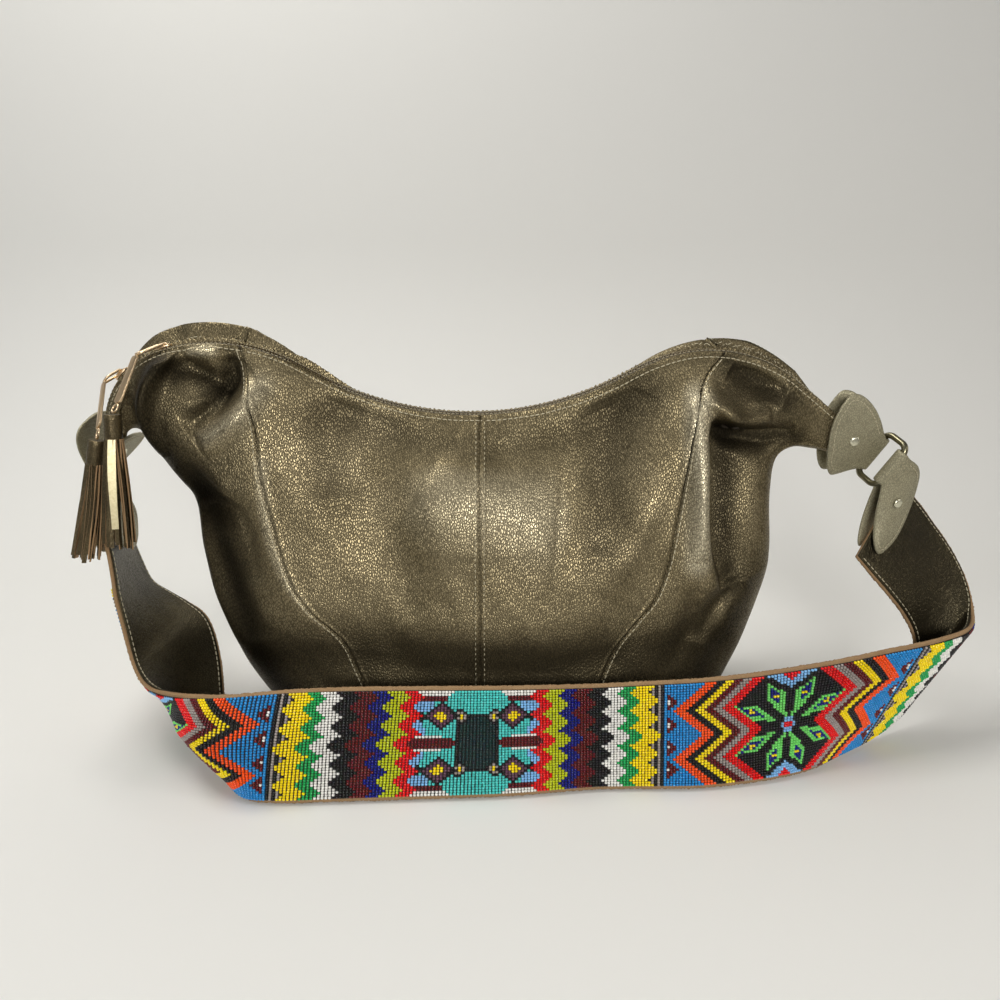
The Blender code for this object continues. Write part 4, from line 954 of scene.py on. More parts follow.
rawEdge, rawGraph, rawShader = newMaterial("rawTanLeather", srgb(176, 140, 98), 0.0, 0.9)
rawPlace = rawGraph.add("ShaderNodeTexCoord").outputs["Object"]
fibre = rawGraph.add("ShaderNodeTexNoise",
                     {"Vector": rawPlace, "Scale": 1500.0, "Detail": 5.0, "Roughness": 0.7})
blotch = rawGraph.add("ShaderNodeTexNoise", {"Vector": rawPlace, "Scale": 160.0, "Detail": 3.0})
tanMix = rawGraph.mix(fibre.outputs["Fac"], srgb(112, 80, 48), srgb(206, 172, 128))
blotchShare = rawGraph.math("MULTIPLY", blotch.outputs["Fac"], 0.5)
tanShade = rawGraph.mix(blotchShare, tanMix, srgb(128, 96, 62))
rawGraph.link(tanShade, rawShader.inputs["Base Color"])
rawGraph.bump(rawShader, fibre.outputs["Fac"], 0.9, 0.0006)

strapLeather = leatherMaterial("strapLeather", {
    "ridge": srgb(100, 91, 68), "dark": srgb(40, 36, 27), "valley": srgb(16, 14, 10), "metallic": 0.90,
    "roughness": 0.30, "cell": 0.0015, "crease": 0.8, "mottle": 1.0, "valleyShare": 0.5, "bump": 0.90,
})

coreHalf = 0.00100
strapCore = strapSlab("strapCore", 0.0, strapLength, 900, 18, 0.004, -coreHalf, coreHalf, 0.00017, "strap")
strapCore.data.materials.append(rawEdge)
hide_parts("strap_core")

liningLow = -beadSide * (coreHalf + 0.00002)
liningHigh = -beadSide * (coreHalf + 0.0010)
strapLining = strapSlab("strapLining", 0.0, strapLength, 620, 30, 0.022, min(liningLow, liningHigh),
                        max(liningLow, liningHigh), 0.0, "strap")
strapLining.data.materials.append(strapLeather)
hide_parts("strap_lining")
print("strap leather ready, strap length", round(float(strapLength), 3))

# Bead weaving: the pattern is worked out from bands, chevrons, diamonds and an eight-petal flower
beadSettings = {
    "leftPitch": 0.00194, "rightPitch": 0.001785, "rows": 40, "edge": 0.030, "radius": 0.00090,
    "length": 0.86, "first": 5 / 66, "last": 60 / 66,
    "centreX": -0.0125, "panelHalf": 20, "period": 202,
}
beadColours = {
    "yellow": (252, 222, 0), "green": (28, 164, 84), "white": (236, 234, 228), "black": (8, 8, 10),
    "maroon": (98, 10, 16), "navy": (4, 20, 124), "chartreuse": (190, 198, 20), "red": (232, 14, 18),
    "turquoise": (78, 205, 198), "lightBlue": (132, 188, 236), "plum": (98, 62, 82), "darkGreen": (2, 44, 44),
    "orange": (252, 84, 12), "blue": (34, 138, 206), "grey": (158, 148, 142), "leafGreen": (118, 222, 108),
}
colourNames = list(beadColours)
zigzagBands = (("red", 4), ("chartreuse", 5), ("navy", 4), ("maroon", 5), ("black", 5), ("white", 5),
               ("green", 4), ("yellow", 6))
chevronBands = (("orange", 4), ("black", 3), ("yellow", 3), ("maroon", 3), ("grey", 3), ("red", 4))


# Colour index of every bead by its column from the middle panel and its row from the upper edge
def beadPattern(column, row):
    settings = beadSettings
    half = settings["period"] / 2
    w = np.abs((column + half) % settings["period"] - half)
    q = np.abs(row - (settings["rows"] - 1) / 2)
    colour = np.full(w.shape, colourNames.index("black"))

    def paint(mask, word):
        colour[mask] = colourNames.index(word)

    saw = np.abs((q + 3.5) % 7 - 3.5)
    tooth = w + saw - np.where(q < 3.5, 1.0, 0.0)
    start = settings["panelHalf"]
    for word, width in zigzagBands:
        paint((tooth >= start) & (tooth < start + width), word)
        start += width
    edge = start + 1.5
    paint((tooth >= start) & (w < edge), "grey")
    paint((tooth >= start) & (w < edge) & (w.astype(int) % 2 == 1), "black")
    paint((w >= edge), "blue")
    away = np.minimum(np.abs(row - 9.7), np.abs(row - 29.3))
    for place in (6.5, 15.3, 24.2, 33.0):
        spread = np.abs(row - place)
        paint((w >= edge + 1) & (w < edge + 5) & (spread <= edge + 4.5 - w), "maroon")
        paint((w >= edge + 1) & (w < edge + 2) & (spread < 0.8), "white")
    chevron = w - away
    start = edge + 3
    for word, width in chevronBands:
        paint((chevron >= start) & (chevron < start + width), word)
        start += width
    paint(chevron >= start, "black")

    # The flower's field, where v is the distance from the flower's middle column
    v = half - w
    field = chevron >= start
    petals = (((0.8, 3.0), (7.2, 17.2), 3.1), ((3.4, 1.7), (18.4, 9.6), 3.0))
    for (fromV, fromQ), (toV, toQ), width in petals:
        axis = np.array((toV - fromV, toQ - fromQ))
        size = np.linalg.norm(axis)
        axis /= size
        along = ((v - fromV) * axis[0] + (q - fromQ) * axis[1]) / size
        off = np.abs((v - fromV) * axis[1] - (q - fromQ) * axis[0])
        reach = width * np.minimum(along / 0.58, (1 - along) / 0.42)
        paint(field & (along > 0) & (along < 1) & (off <= reach), "leafGreen")
        core = 1.35 * np.minimum((along - 0.34) / 0.26, (0.92 - along) / 0.30)
        paint(field & (off <= core), "navy")
        paint(field & (off < 0.7) & (np.abs(along - 0.62) * size < 0.7), "yellow")
    paint(field & (v < 1.2) & (q < 3.2), "lightBlue")
    paint(field & (v < 2.2) & (q < 1.2), "lightBlue")
    paint(field & (v < 1.2) & (q < 1.2), "red")
    paint(field & (v < (q - 14.2) * 1.35), "lightBlue")
    paint(field & (v < (q - 17.3) * 1.35), "red")

    # The middle panel
    panel = tooth < settings["panelHalf"]
    paint(panel, "turquoise")
    paint(panel & (w > 14.5 + 0.25 * q) & (q > 2.5) & (q < 9.5), "lightBlue")
    paint(panel & (w > 13.0) & (q > 12.0) & (q < 16.0), "lightBlue")
    paint(panel & (q < 3.2) & (w > 10.5), "white")
    paint(panel & (q < 2.1) & (w > 6.6 + q * 0.7), "maroon")
    paint(panel & (q > 16.0) & (w > 8.5), "maroon")
    paint(panel & (q > 18.0) & (w > 7.5), "white")
    paint(panel & ((w / 10.2) ** 2 + ((q - 14.5) / 6.5) ** 2 < 1), "turquoise")
    paint(panel & (w < 6.6) & (q < 11.2 - (w / 6.2) ** 6), "black")
    paint(panel & (w < 5.6) & (q < 10.2), "darkGreen")
    inner = np.abs(w - 5.2) + np.abs(q - 10.2)
    paint(panel & (inner < 3.3), "black")
    paint(panel & (inner < 2.3), "grey")
    paint(panel & (inner < 1.2), "yellow")
    paint(panel & (w > 15.2) & (w < 19.5) & (np.abs(q - 10.4) < 1.0 + (w.astype(int) % 2)), "black")
    paint(panel & (w > 15.2) & (w < 19.5) & (np.abs(q - 10.4) < 0.6), "plum")
    diamond = np.abs(w - 11.2) / 5.3 + np.abs(q - 10.4) / 5.6
    paint(panel & (diamond < 1), "black")
    paint(panel & (diamond < 0.80), "plum")
    paint(panel & (np.abs(w - 11.2) + np.abs(q - 10.4) < 2.1), "yellow")
    return colour


def makeBeads():
    settings = beadSettings
    first = np.interp(settings["first"], strapPlaces, strapLengths)
    last = np.interp(settings["last"], strapPlaces, strapLengths)
    frontX = strapPoints(strapLengths, np.full(strapLengths.shape, 0.5))
    front = (strapPlaces > 0.3) & (strapPlaces < 0.7)
    middle = np.interp(settings["centreX"], frontX[front, 0], strapLengths[front])
    low = math.ceil((first - middle) / settings["leftPitch"] + 0.5)
    high = math.floor((last - middle) / settings["rightPitch"] - 0.5)
    columns = np.arange(low, high + 1)
    rows = np.arange(settings["rows"])
    share = 1 - settings["edge"] - (1 - 2 * settings["edge"]) * (rows + 0.5) / settings["rows"]
    column, row = np.meshgrid(columns, rows, indexing="ij")
    tints = np.array([srgb(*beadColours[word])
                      for word in colourNames])[beadPattern(column, row.astype(float))]
    rng = np.random.default_rng(3)
    tints = np.clip(tints * rng.normal(1.0, 0.07, (*tints.shape[:2], 1)) + rng.normal(0, 0.004, tints.shape),
                    0.0012, 1)
    distance, across = np.meshgrid(middle + columns
                                   * np.where(columns < 0, settings["leftPitch"], settings["rightPitch"]),
                                   share, indexing="ij")
    points = strapPoints(distance, across)
    step = 0.0006
    along = strapPoints(distance + step, across) - strapPoints(distance - step, across)
    wide = strapPoints(distance, across - 0.008) - strapPoints(distance, across + 0.008)
    stride = np.linalg.norm(wide, axis=-1) / 0.016 * (1 - 2 * settings["edge"]) / settings["rows"]
    along /= np.linalg.norm(along, axis=-1, keepdims=True)
    wide /= np.linalg.norm(wide, axis=-1, keepdims=True)
    normal = np.cross(wide, along)
    normal /= np.linalg.norm(normal, axis=-1, keepdims=True)
    normal *= -1.0
    outside = normal * (1.0 if (normal[len(columns) // 2, 20, 1] < 0) else -1.0)
    points = points + outside * (coreHalf + settings["radius"] * 0.92)
    points = points + along * rng.normal(0, 0.00005, distance.shape)[..., None]
    points = points + outside * rng.normal(0, 0.00005, distance.shape)[..., None]
    yWay = np.cross(outside, wide)
    unit = barrelMesh("beadUnit", ((-0.46, 0.42), (-0.33, 0.86), (0.0, 1.0), (0.33, 0.86), (0.46, 0.42)), 7,
                      False)
    blocks = np.array_split(np.arange(len(columns)), 6)
    made = []
    for number, block in enumerate(blocks):
        size = np.stack([
            stride[block] * 1.0, np.full_like(stride[block], settings["radius"]),
            np.full_like(stride[block], settings["radius"]),
        ], -1)
        item = scatter(f"beads{number + 1}", points[block],
                       [way[block].reshape(-1, 3) for way in (wide, yWay, outside)],
                       size.reshape(-1, 3), unit, beadGlass, "strap", tints[block], uneven=0.03)
        made.append(item)
    print("beads", len(columns), "columns")
    return made


beadGlass, beadGraph, beadShader = newMaterial("beadGlass", srgb(80, 200, 200), 0.0, 0.16)
beadTint = beadGraph.add("ShaderNodeAttribute", attribute_name="tint")
beadGraph.link(beadTint.outputs["Color"], beadShader.inputs["Base Color"])
beadShader.inputs["Specular IOR Level"].default_value = 0.55
makeBeads()

# A dark woven ground behind the beads
threadGround, groundGraph, groundShader = newMaterial("threadGround", srgb(34, 30, 28), 0.0, 0.9)
groundPlace = groundGraph.add("ShaderNodeTexCoord").outputs["Object"]
weave = groundGraph.add("ShaderNodeTexNoise", {"Vector": groundPlace, "Scale": 1200.0, "Detail": 2.0})
groundGraph.bump(groundShader, weave.outputs["Fac"], 0.5, 0.0003)
groundLow = beadSide * (coreHalf + 0.00002)
groundHigh = beadSide * (coreHalf + 0.00055)
beadGround = strapSlab(
    "beadGround", float(np.interp(beadSettings["first"], strapPlaces, strapLengths)) - 0.002,
    float(np.interp(beadSettings["last"], strapPlaces, strapLengths)) + 0.002, 420, 16, 0.030,
    min(groundLow, groundHigh), max(groundLow, groundHigh), 0.0, "strap")
beadGround.data.materials.append(threadGround)
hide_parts("strap_beadwork")
print("bead weaving ready")



# Metal with fine brushed or worn marks
def metalMaterial(name, colour, dark, roughness, wear):
    material, graph, shader = newMaterial(name, colour, 1.0, roughness)
    place = graph.add("ShaderNodeTexCoord").outputs["Object"]
    fine = graph.add("ShaderNodeTexNoise", {"Vector": place, "Scale": 900.0, "Detail": 3.0})
    slow = graph.add("ShaderNodeTexNoise", {"Vector": place, "Scale": 240.0, "Detail": 2.0})
    mixed = graph.mix(graph.math("MULTIPLY", slow.outputs["Fac"], wear), colour, dark)
    graph.link(mixed, shader.inputs["Base Color"])
    rough = graph.math("ADD", roughness - 0.06, graph.math("MULTIPLY", fine.outputs["Fac"], 0.14))
    graph.link(rough, shader.inputs["Roughness"])
    graph.bump(shader, fine.outputs["Fac"], 0.12, 0.0002)
    return material


pullGold = metalMaterial("pullGold", srgb(248, 222, 184), srgb(206, 170, 126), 0.36, 0.4)
zipBrass = metalMaterial("zipBrass", srgb(150, 132, 98), srgb(70, 60, 42), 0.34, 0.8)
ringNickel = metalMaterial("ringNickel", srgb(150, 144, 118), srgb(84, 80, 62), 0.32, 0.8)
rivetMetal = metalMaterial("rivetMetal", srgb(232, 228, 204), srgb(176, 172, 144), 0.34, 0.5)


# A round bar along a closed or open path of points
def tubeMesh(name, path, radius, segments=10, closed=True, squash=1.0, flatWay=None):
    path = np.asarray(path, float)
    if closed:
        tangent = np.roll(path, -1, 0) - np.roll(path, 1, 0)
    else:
        tangent = np.gradient(path, axis=0)
    tangent /= np.linalg.norm(tangent, axis=1, keepdims=True)
    side = np.asarray(flatWay if flatWay is not None else np.cross(tangent[0], tangent[len(path) // 3]),
                      float)
    side = side / np.linalg.norm(side)
    first = np.cross(tangent, side)
    first /= np.linalg.norm(first, axis=1, keepdims=True)
    second = np.cross(tangent, first)
    radii = np.broadcast_to(np.asarray(radius, float), (len(path),))
    angles = np.linspace(0, 2 * np.pi, segments, endpoint=False)
    rings = path[:, None] + radii[:, None, None] * (
        first[:, None] * np.cos(angles)[None, :, None]
        + second[:, None] * np.sin(angles)[None, :, None] * squash)
    if closed:
        rings = np.concatenate([rings, rings[:1]], 0)
    mesh = gridMesh(name, rings, closedColumns=True)
    shape = shapeOf(mesh)
    if closed:
        bmesh.ops.remove_doubles(shape, verts=shape.verts[:], dist=1e-7)
    else:
        shape.verts.ensure_lookup_table()
        shape.faces.new([shape.verts[i] for i in range(segments)])
        shape.faces.new([shape.verts[len(shape.verts) - segments + i] for i in range(segments)])
    keepShape(shape, mesh)
    return mesh


def roundedLoop(centre, longWay, shortWay, length, width, corner, steps):
    points = []
    for quarter in range(4):
        signLong = 1 if quarter in (0, 3) else -1
        signShort = 1 if quarter in (0, 1) else -1
        middle = (np.asarray(centre) + longWay * signLong * (length / 2 - corner)
                  + shortWay * signShort * (width / 2 - corner))
        for i in range(steps + 1):
            angle = math.pi / 2 * (quarter + i / steps)
            points.append(middle + (longWay * math.cos(angle) + shortWay * math.sin(angle)) * corner)
    return np.array(points)


def unitWay(vector):
    vector = np.asarray(vector, float)
    return vector / np.linalg.norm(vector)


# Ends of the bag: each ring hangs in a folded tab on the bag and holds one on the strap
endSettings = {
    "wire": 0.0020, "long": 0.034, "short": 0.022, "corner": 0.0055, "leather": 0.0018, "loop": 0.0007,
    "tabWidth": 0.052, "stitchInset": 0.0028, "rivet": 0.0031,
}
rightEnd = {
    "fold": np.array((0.2344878, 0.001989, 0.1765028)), "wide": unitWay((0.45, -0.20, 0.87)),
    "drop": np.array((0.30, -0.85, -0.40)),
}
leftEnd = {
    "fold": np.array((-0.251012, 0.0, 0.166005)), "wide": unitWay((0.0, 1.0, 0.0)),
    "drop": np.array((0.05, 0.0, -1.0)),
}
for word, end in (("left", leftEnd), ("right", rightEnd)):
    drop = end["drop"] - end["wide"] * (end["drop"] @ end["wide"])
    end["drop"] = unitWay(drop)
    gap = endSettings["short"] - 2 * endSettings["wire"]
    end["farFold"] = end["fold"] + end["drop"] * gap
    loop = roundedLoop(
        end["fold"] + end["drop"] * gap / 2, end["wide"], end["drop"],
        endSettings["long"] - 2 * endSettings["wire"], gap, endSettings["corner"], 10)
    ring = addObject(f"{word}Ring", tubeMesh(f"{word}Ring", loop, endSettings["wire"] * 0.98, 16),
                     f"{word}_ring", [ringNickel])
    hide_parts(f"{word}_ring")
print("rings ready")


# Where the zip line is at a distance, with its ways along and outwards
def zipAxes(distance):
    x, z, heading = (np.interp(distance, zipLine[:, 0], zipLine[:, i]) for i in (1, 2, 3))
    zero = np.zeros_like(x)
    point = np.stack([x, zero, z], -1)
    along = np.stack([np.cos(heading), zero, np.sin(heading)], -1)
    outward = np.stack([-np.sin(heading), zero, np.cos(heading)], -1)
    return point, along, outward


pullSettings = {
    "sliderLength": 0.0100, "linkWidth": 0.0064, "linkWire": 0.0008, "barWidth": 0.0065,
    "barThick": 0.0016, "ring": 0.0026, "ringWire": 0.0006, "head": 0.0150, "headRadius": 0.0048,
}
# Distance of the slider along the zip, then the ends of the link, the bar, the ring's top and the fringe
pullPlaces = {
    "a": (0.0142 + 0.0534 * math.radians(60.2) + 0.1016 * math.radians(3.0),
          (-0.009, -0.016, -0.0045), (-0.015, -0.034, -0.030), (-0.0175, -0.040, -0.0385),
          (-0.020, -0.046, -0.113)),
    "b": (0.0142 + 0.0534 * math.radians(33.0),
          (-0.004, -0.013, -0.0040), (-0.003, -0.029, -0.029), (-0.003, -0.033, -0.0375),
          (-0.016, -0.041, -0.105)),
}


# A slab whose outline lies in its length and width, with rounded edges
def slabMesh(name, outline, thick, round_, centre, ways):
    shape = bmesh.new()
    verts = [shape.verts.new((x, y, -thick / 2)) for x, y in outline]
    face = shape.faces.new(verts)
    made = bmesh.ops.extrude_face_region(shape, geom=[face])
    top = [item for item in made["geom"] if isinstance(item, bmesh.types.BMVert)]
    bmesh.ops.translate(shape, verts=top, vec=(0, 0, thick))
    bmesh.ops.recalc_face_normals(shape, faces=shape.faces[:])
    edges = [edge for edge in shape.edges if len(edge.link_faces) == 2 and edge.calc_face_angle(0) > 0.6]
    bmesh.ops.bevel(shape, geom=edges, offset=round_, segments=2, profile=0.6, affect="EDGES",
                    clamp_overlap=True)
    turn = Matrix([list(column) for column in zip(*ways)]).to_4x4()
    turn.translation = Vector(centre)
    bmesh.ops.transform(shape, matrix=turn, verts=shape.verts[:])
    bmesh.ops.recalc_face_normals(shape, faces=shape.faces[:])
    mesh = bpy.data.meshes.new(name)
    shape.to_mesh(mesh)
    shape.free()
    return mesh


def joinMeshes(name, meshes):
    shape = bmesh.new()
    for mesh in meshes:
        shape.from_mesh(mesh)
    joined = bpy.data.meshes.new(name)
    shape.to_mesh(joined)
    shape.free()
    return joined


def roundedRectangle(length, width, corner, steps=5):
    points = []
    for quarter in range(4):
        signX = 1 if quarter in (0, 3) else -1
        signY = 1 if quarter in (0, 1) else -1
        for i in range(steps + 1):
            angle = math.pi / 2 * (quarter + i / steps)
            points.append((signX * (length / 2 - corner) + corner * math.cos(angle),
                           signY * (width / 2 - corner) + corner * math.sin(angle)))
    return points


pullStops = {}
for word, (distance, *offsets) in pullPlaces.items():
    settings = pullSettings
    point, along, outward = zipAxes(np.array(distance))
    across = np.array((0.0, 1.0, 0.0))
    high = 0.0012 + 0.0006 + 0.0011
    anchor = point + outward * (high + settings["linkWire"] + 0.0004)
    linkEnd, barEnd, tasselTop, fringeEnd = (anchor + np.array(offset) for offset in offsets)
    ways = (along, across, outward)
    half = settings["sliderLength"] / 2
    shield = [(half * 0.98, 0.0014), (half * 0.80, 0.0027), (half * 0.2, 0.0035), (-half * 0.5, 0.0033),
              (-half * 0.98, 0.0022)]
    outline = shield + [(x, -y) for x, y in shield[::-1]]
    plates = [
        slabMesh("plate", outline, 0.0011, 0.0003, point + outward * (high - 0.00055), ways),
        slabMesh("plate", [(x * 0.97, y * 0.66) for x, y in outline], 0.0011, 0.0003,
                 point - outward * (high - 0.00055), ways),
        slabMesh("web", roundedRectangle(settings["sliderLength"] * 0.5, 0.0008, 0.0003),
                 2 * (high - 0.0010), 0.0001, point, ways),
    ]
    bridge = [anchor + along * (t * half * 0.62) + outward * (0.0013 * (1 - t * t) - 0.0012)
              for t in np.linspace(-1, 1, 13)]
    plates.append(tubeMesh("bridge", bridge, 0.00062, 8, closed=False, flatWay=across))
    slider = addObject(f"slider{word.upper()}", joinMeshes(f"slider{word}", plates), f"slider_{word}",
                       [pullGold], smooth=False)
    slider.data.shade_smooth()
    slider.data.set_sharp_from_angle(angle=math.radians(35))
    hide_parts(f"slider_{word}")

    way = unitWay(linkEnd - anchor)
    wide = unitWay(along - way * (along @ way))
    start, end = anchor + way * settings["linkWire"], linkEnd - way * settings["linkWire"]
    loop = roundedLoop((start + end) / 2, way, wide, np.linalg.norm(end - start), settings["linkWidth"],
                       settings["linkWidth"] / 2 - 0.0008, 8)
    link = addObject(f"link{word.upper()}", tubeMesh(f"link{word}", loop, settings["linkWire"], 12),
                     f"link_{word}", [pullGold])
    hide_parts(f"link_{word}")

    way = unitWay(barEnd - linkEnd)
    flat = np.cross(way, wide)
    length = np.linalg.norm(barEnd - linkEnd) - 0.0011
    outline = [(x, y * (1.0 if x > 0 else 0.86)) for x,
               y in roundedRectangle(length, settings["barWidth"], 0.0018, 6)]
    bar = addObject(f"pullBar{word.upper()}", slabMesh(f"bar{word}", outline, settings["barThick"], 0.00042,
                    (linkEnd + barEnd) / 2 + way * 0.0005, (way, wide, flat)), f"bar_{word}", [pullGold],
                    smooth=False)
    bar.data.shade_smooth()
    bar.data.set_sharp_from_angle(angle=math.radians(40))
    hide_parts(f"pull_bar_{word}")

    way = unitWay(tasselTop - barEnd)
    centre = barEnd + way * (0.0004 + settings["ringWire"] + settings["ring"])
    turns = np.linspace(0, 2 * np.pi, 28, endpoint=False)
    circle = centre + settings["ring"] * (way * np.cos(turns)[:, None] + wide * np.sin(turns)[:, None])
    ring = addObject(f"jumpRing{word.upper()}", tubeMesh(f"jump{word}", circle, settings["ringWire"], 10),
                     f"tassel_{word}", [pullGold])
    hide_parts(f"jump_ring_{word}")
    top = centre + way * (settings["ring"] + settings["ringWire"] + 0.0006)
    pullStops[word] = (top, fringeEnd, wide)
print("pulls ready")



tabLeather = leatherMaterial("tabLeather", {
    "ridge": srgb(186, 178, 148), "dark": srgb(146, 140, 114), "valley": srgb(70, 66, 50), "metallic": 0.50,
    "roughness": 0.44, "cell": 0.0012, "crease": 0.3, "mottle": 0.8, "valleyShare": 0.5, "bump": 0.80,
})
threadLight, threadGraph, threadShader = newMaterial("paleThread", srgb(206, 196, 164), 0.0, 0.55)
threadPlace = threadGraph.add("ShaderNodeTexCoord").outputs["Object"]
threadNoise = threadGraph.add("ShaderNodeTexNoise", {"Vector": threadPlace, "Scale": 2600.0, "Detail": 2.0})
threadMix = threadGraph.mix(threadNoise.outputs["Fac"], srgb(222, 212, 182), srgb(150, 138, 106))
threadGraph.link(threadMix, threadShader.inputs["Base Color"])
stitchUnit = barrelMesh("stitchUnit", ((-0.5, 0.25), (-0.44, 0.7), (-0.2, 1.0), (0.2, 1.0), (0.44, 0.7),
                                       (0.5, 0.25)), 6, True)


# Stitches along a path that lies on a surface, each lying flat and a little sunk at its ends
def stitchRow(name, path, normals, pitch, length, radius, body, lift=0.45, material=None):
    path, normals = np.asarray(path, float), np.asarray(normals, float)
    lengths = np.concatenate([[0.0], np.cumsum(np.linalg.norm(np.diff(path, axis=0), axis=1))])
    count = max(int(lengths[-1] / pitch), 1)
    centres = (np.arange(count) + 0.5) * lengths[-1] / count

    def at(distance, rows):
        return np.stack([np.interp(distance, lengths, rows[:, i]) for i in range(3)], -1)

    points = at(centres, path)
    along = at(centres + pitch * 0.3, path) - at(centres - pitch * 0.3, path)
    along /= np.linalg.norm(along, axis=1, keepdims=True)
    normal = at(centres, normals)
    normal -= along * (normal * along).sum(1, keepdims=True)
    normal /= np.linalg.norm(normal, axis=1, keepdims=True)
    side = np.cross(normal, along)
    size = (length, radius, radius * 0.8)
    item = scatter(name, points + normal * radius * lift, (along, side, normal), size, stitchUnit,
                   material or threadLight, body, uneven=0.06)
    return item


# Half width of a tab's leaf from its round end to its neck, as shares of the tab's width
leafShares = (
    (0.0, 0.30), (0.03, 0.365), (0.08, 0.42), (0.16, 0.46), (0.28, 0.48), (0.42, 0.465), (0.58, 0.415),
    (0.74, 0.34),
    (0.88, 0.265), (1.0, 0.216),
)


# Rows down one leaf: its middle, its wide way and its half width
def leafRows(chord, neck, chordWay, wideWay, count=64):
    fine = smoothCurve(leafShares, 400)
    share = np.linspace(0, 1, count) ** 1.0
    half = np.interp(share, fine[:, 0], fine[:, 1])
    ease = share ** 2 * (3 - 2 * share)
    wide = chordWay[None] * (1 - ease[:, None]) + wideWay[None] * ease[:, None]
    wide /= np.linalg.norm(wide, axis=1, keepdims=True)
    centre = chord + (neck - chord) * share[:, None]
    return centre, wide, half * endSettings["tabWidth"]


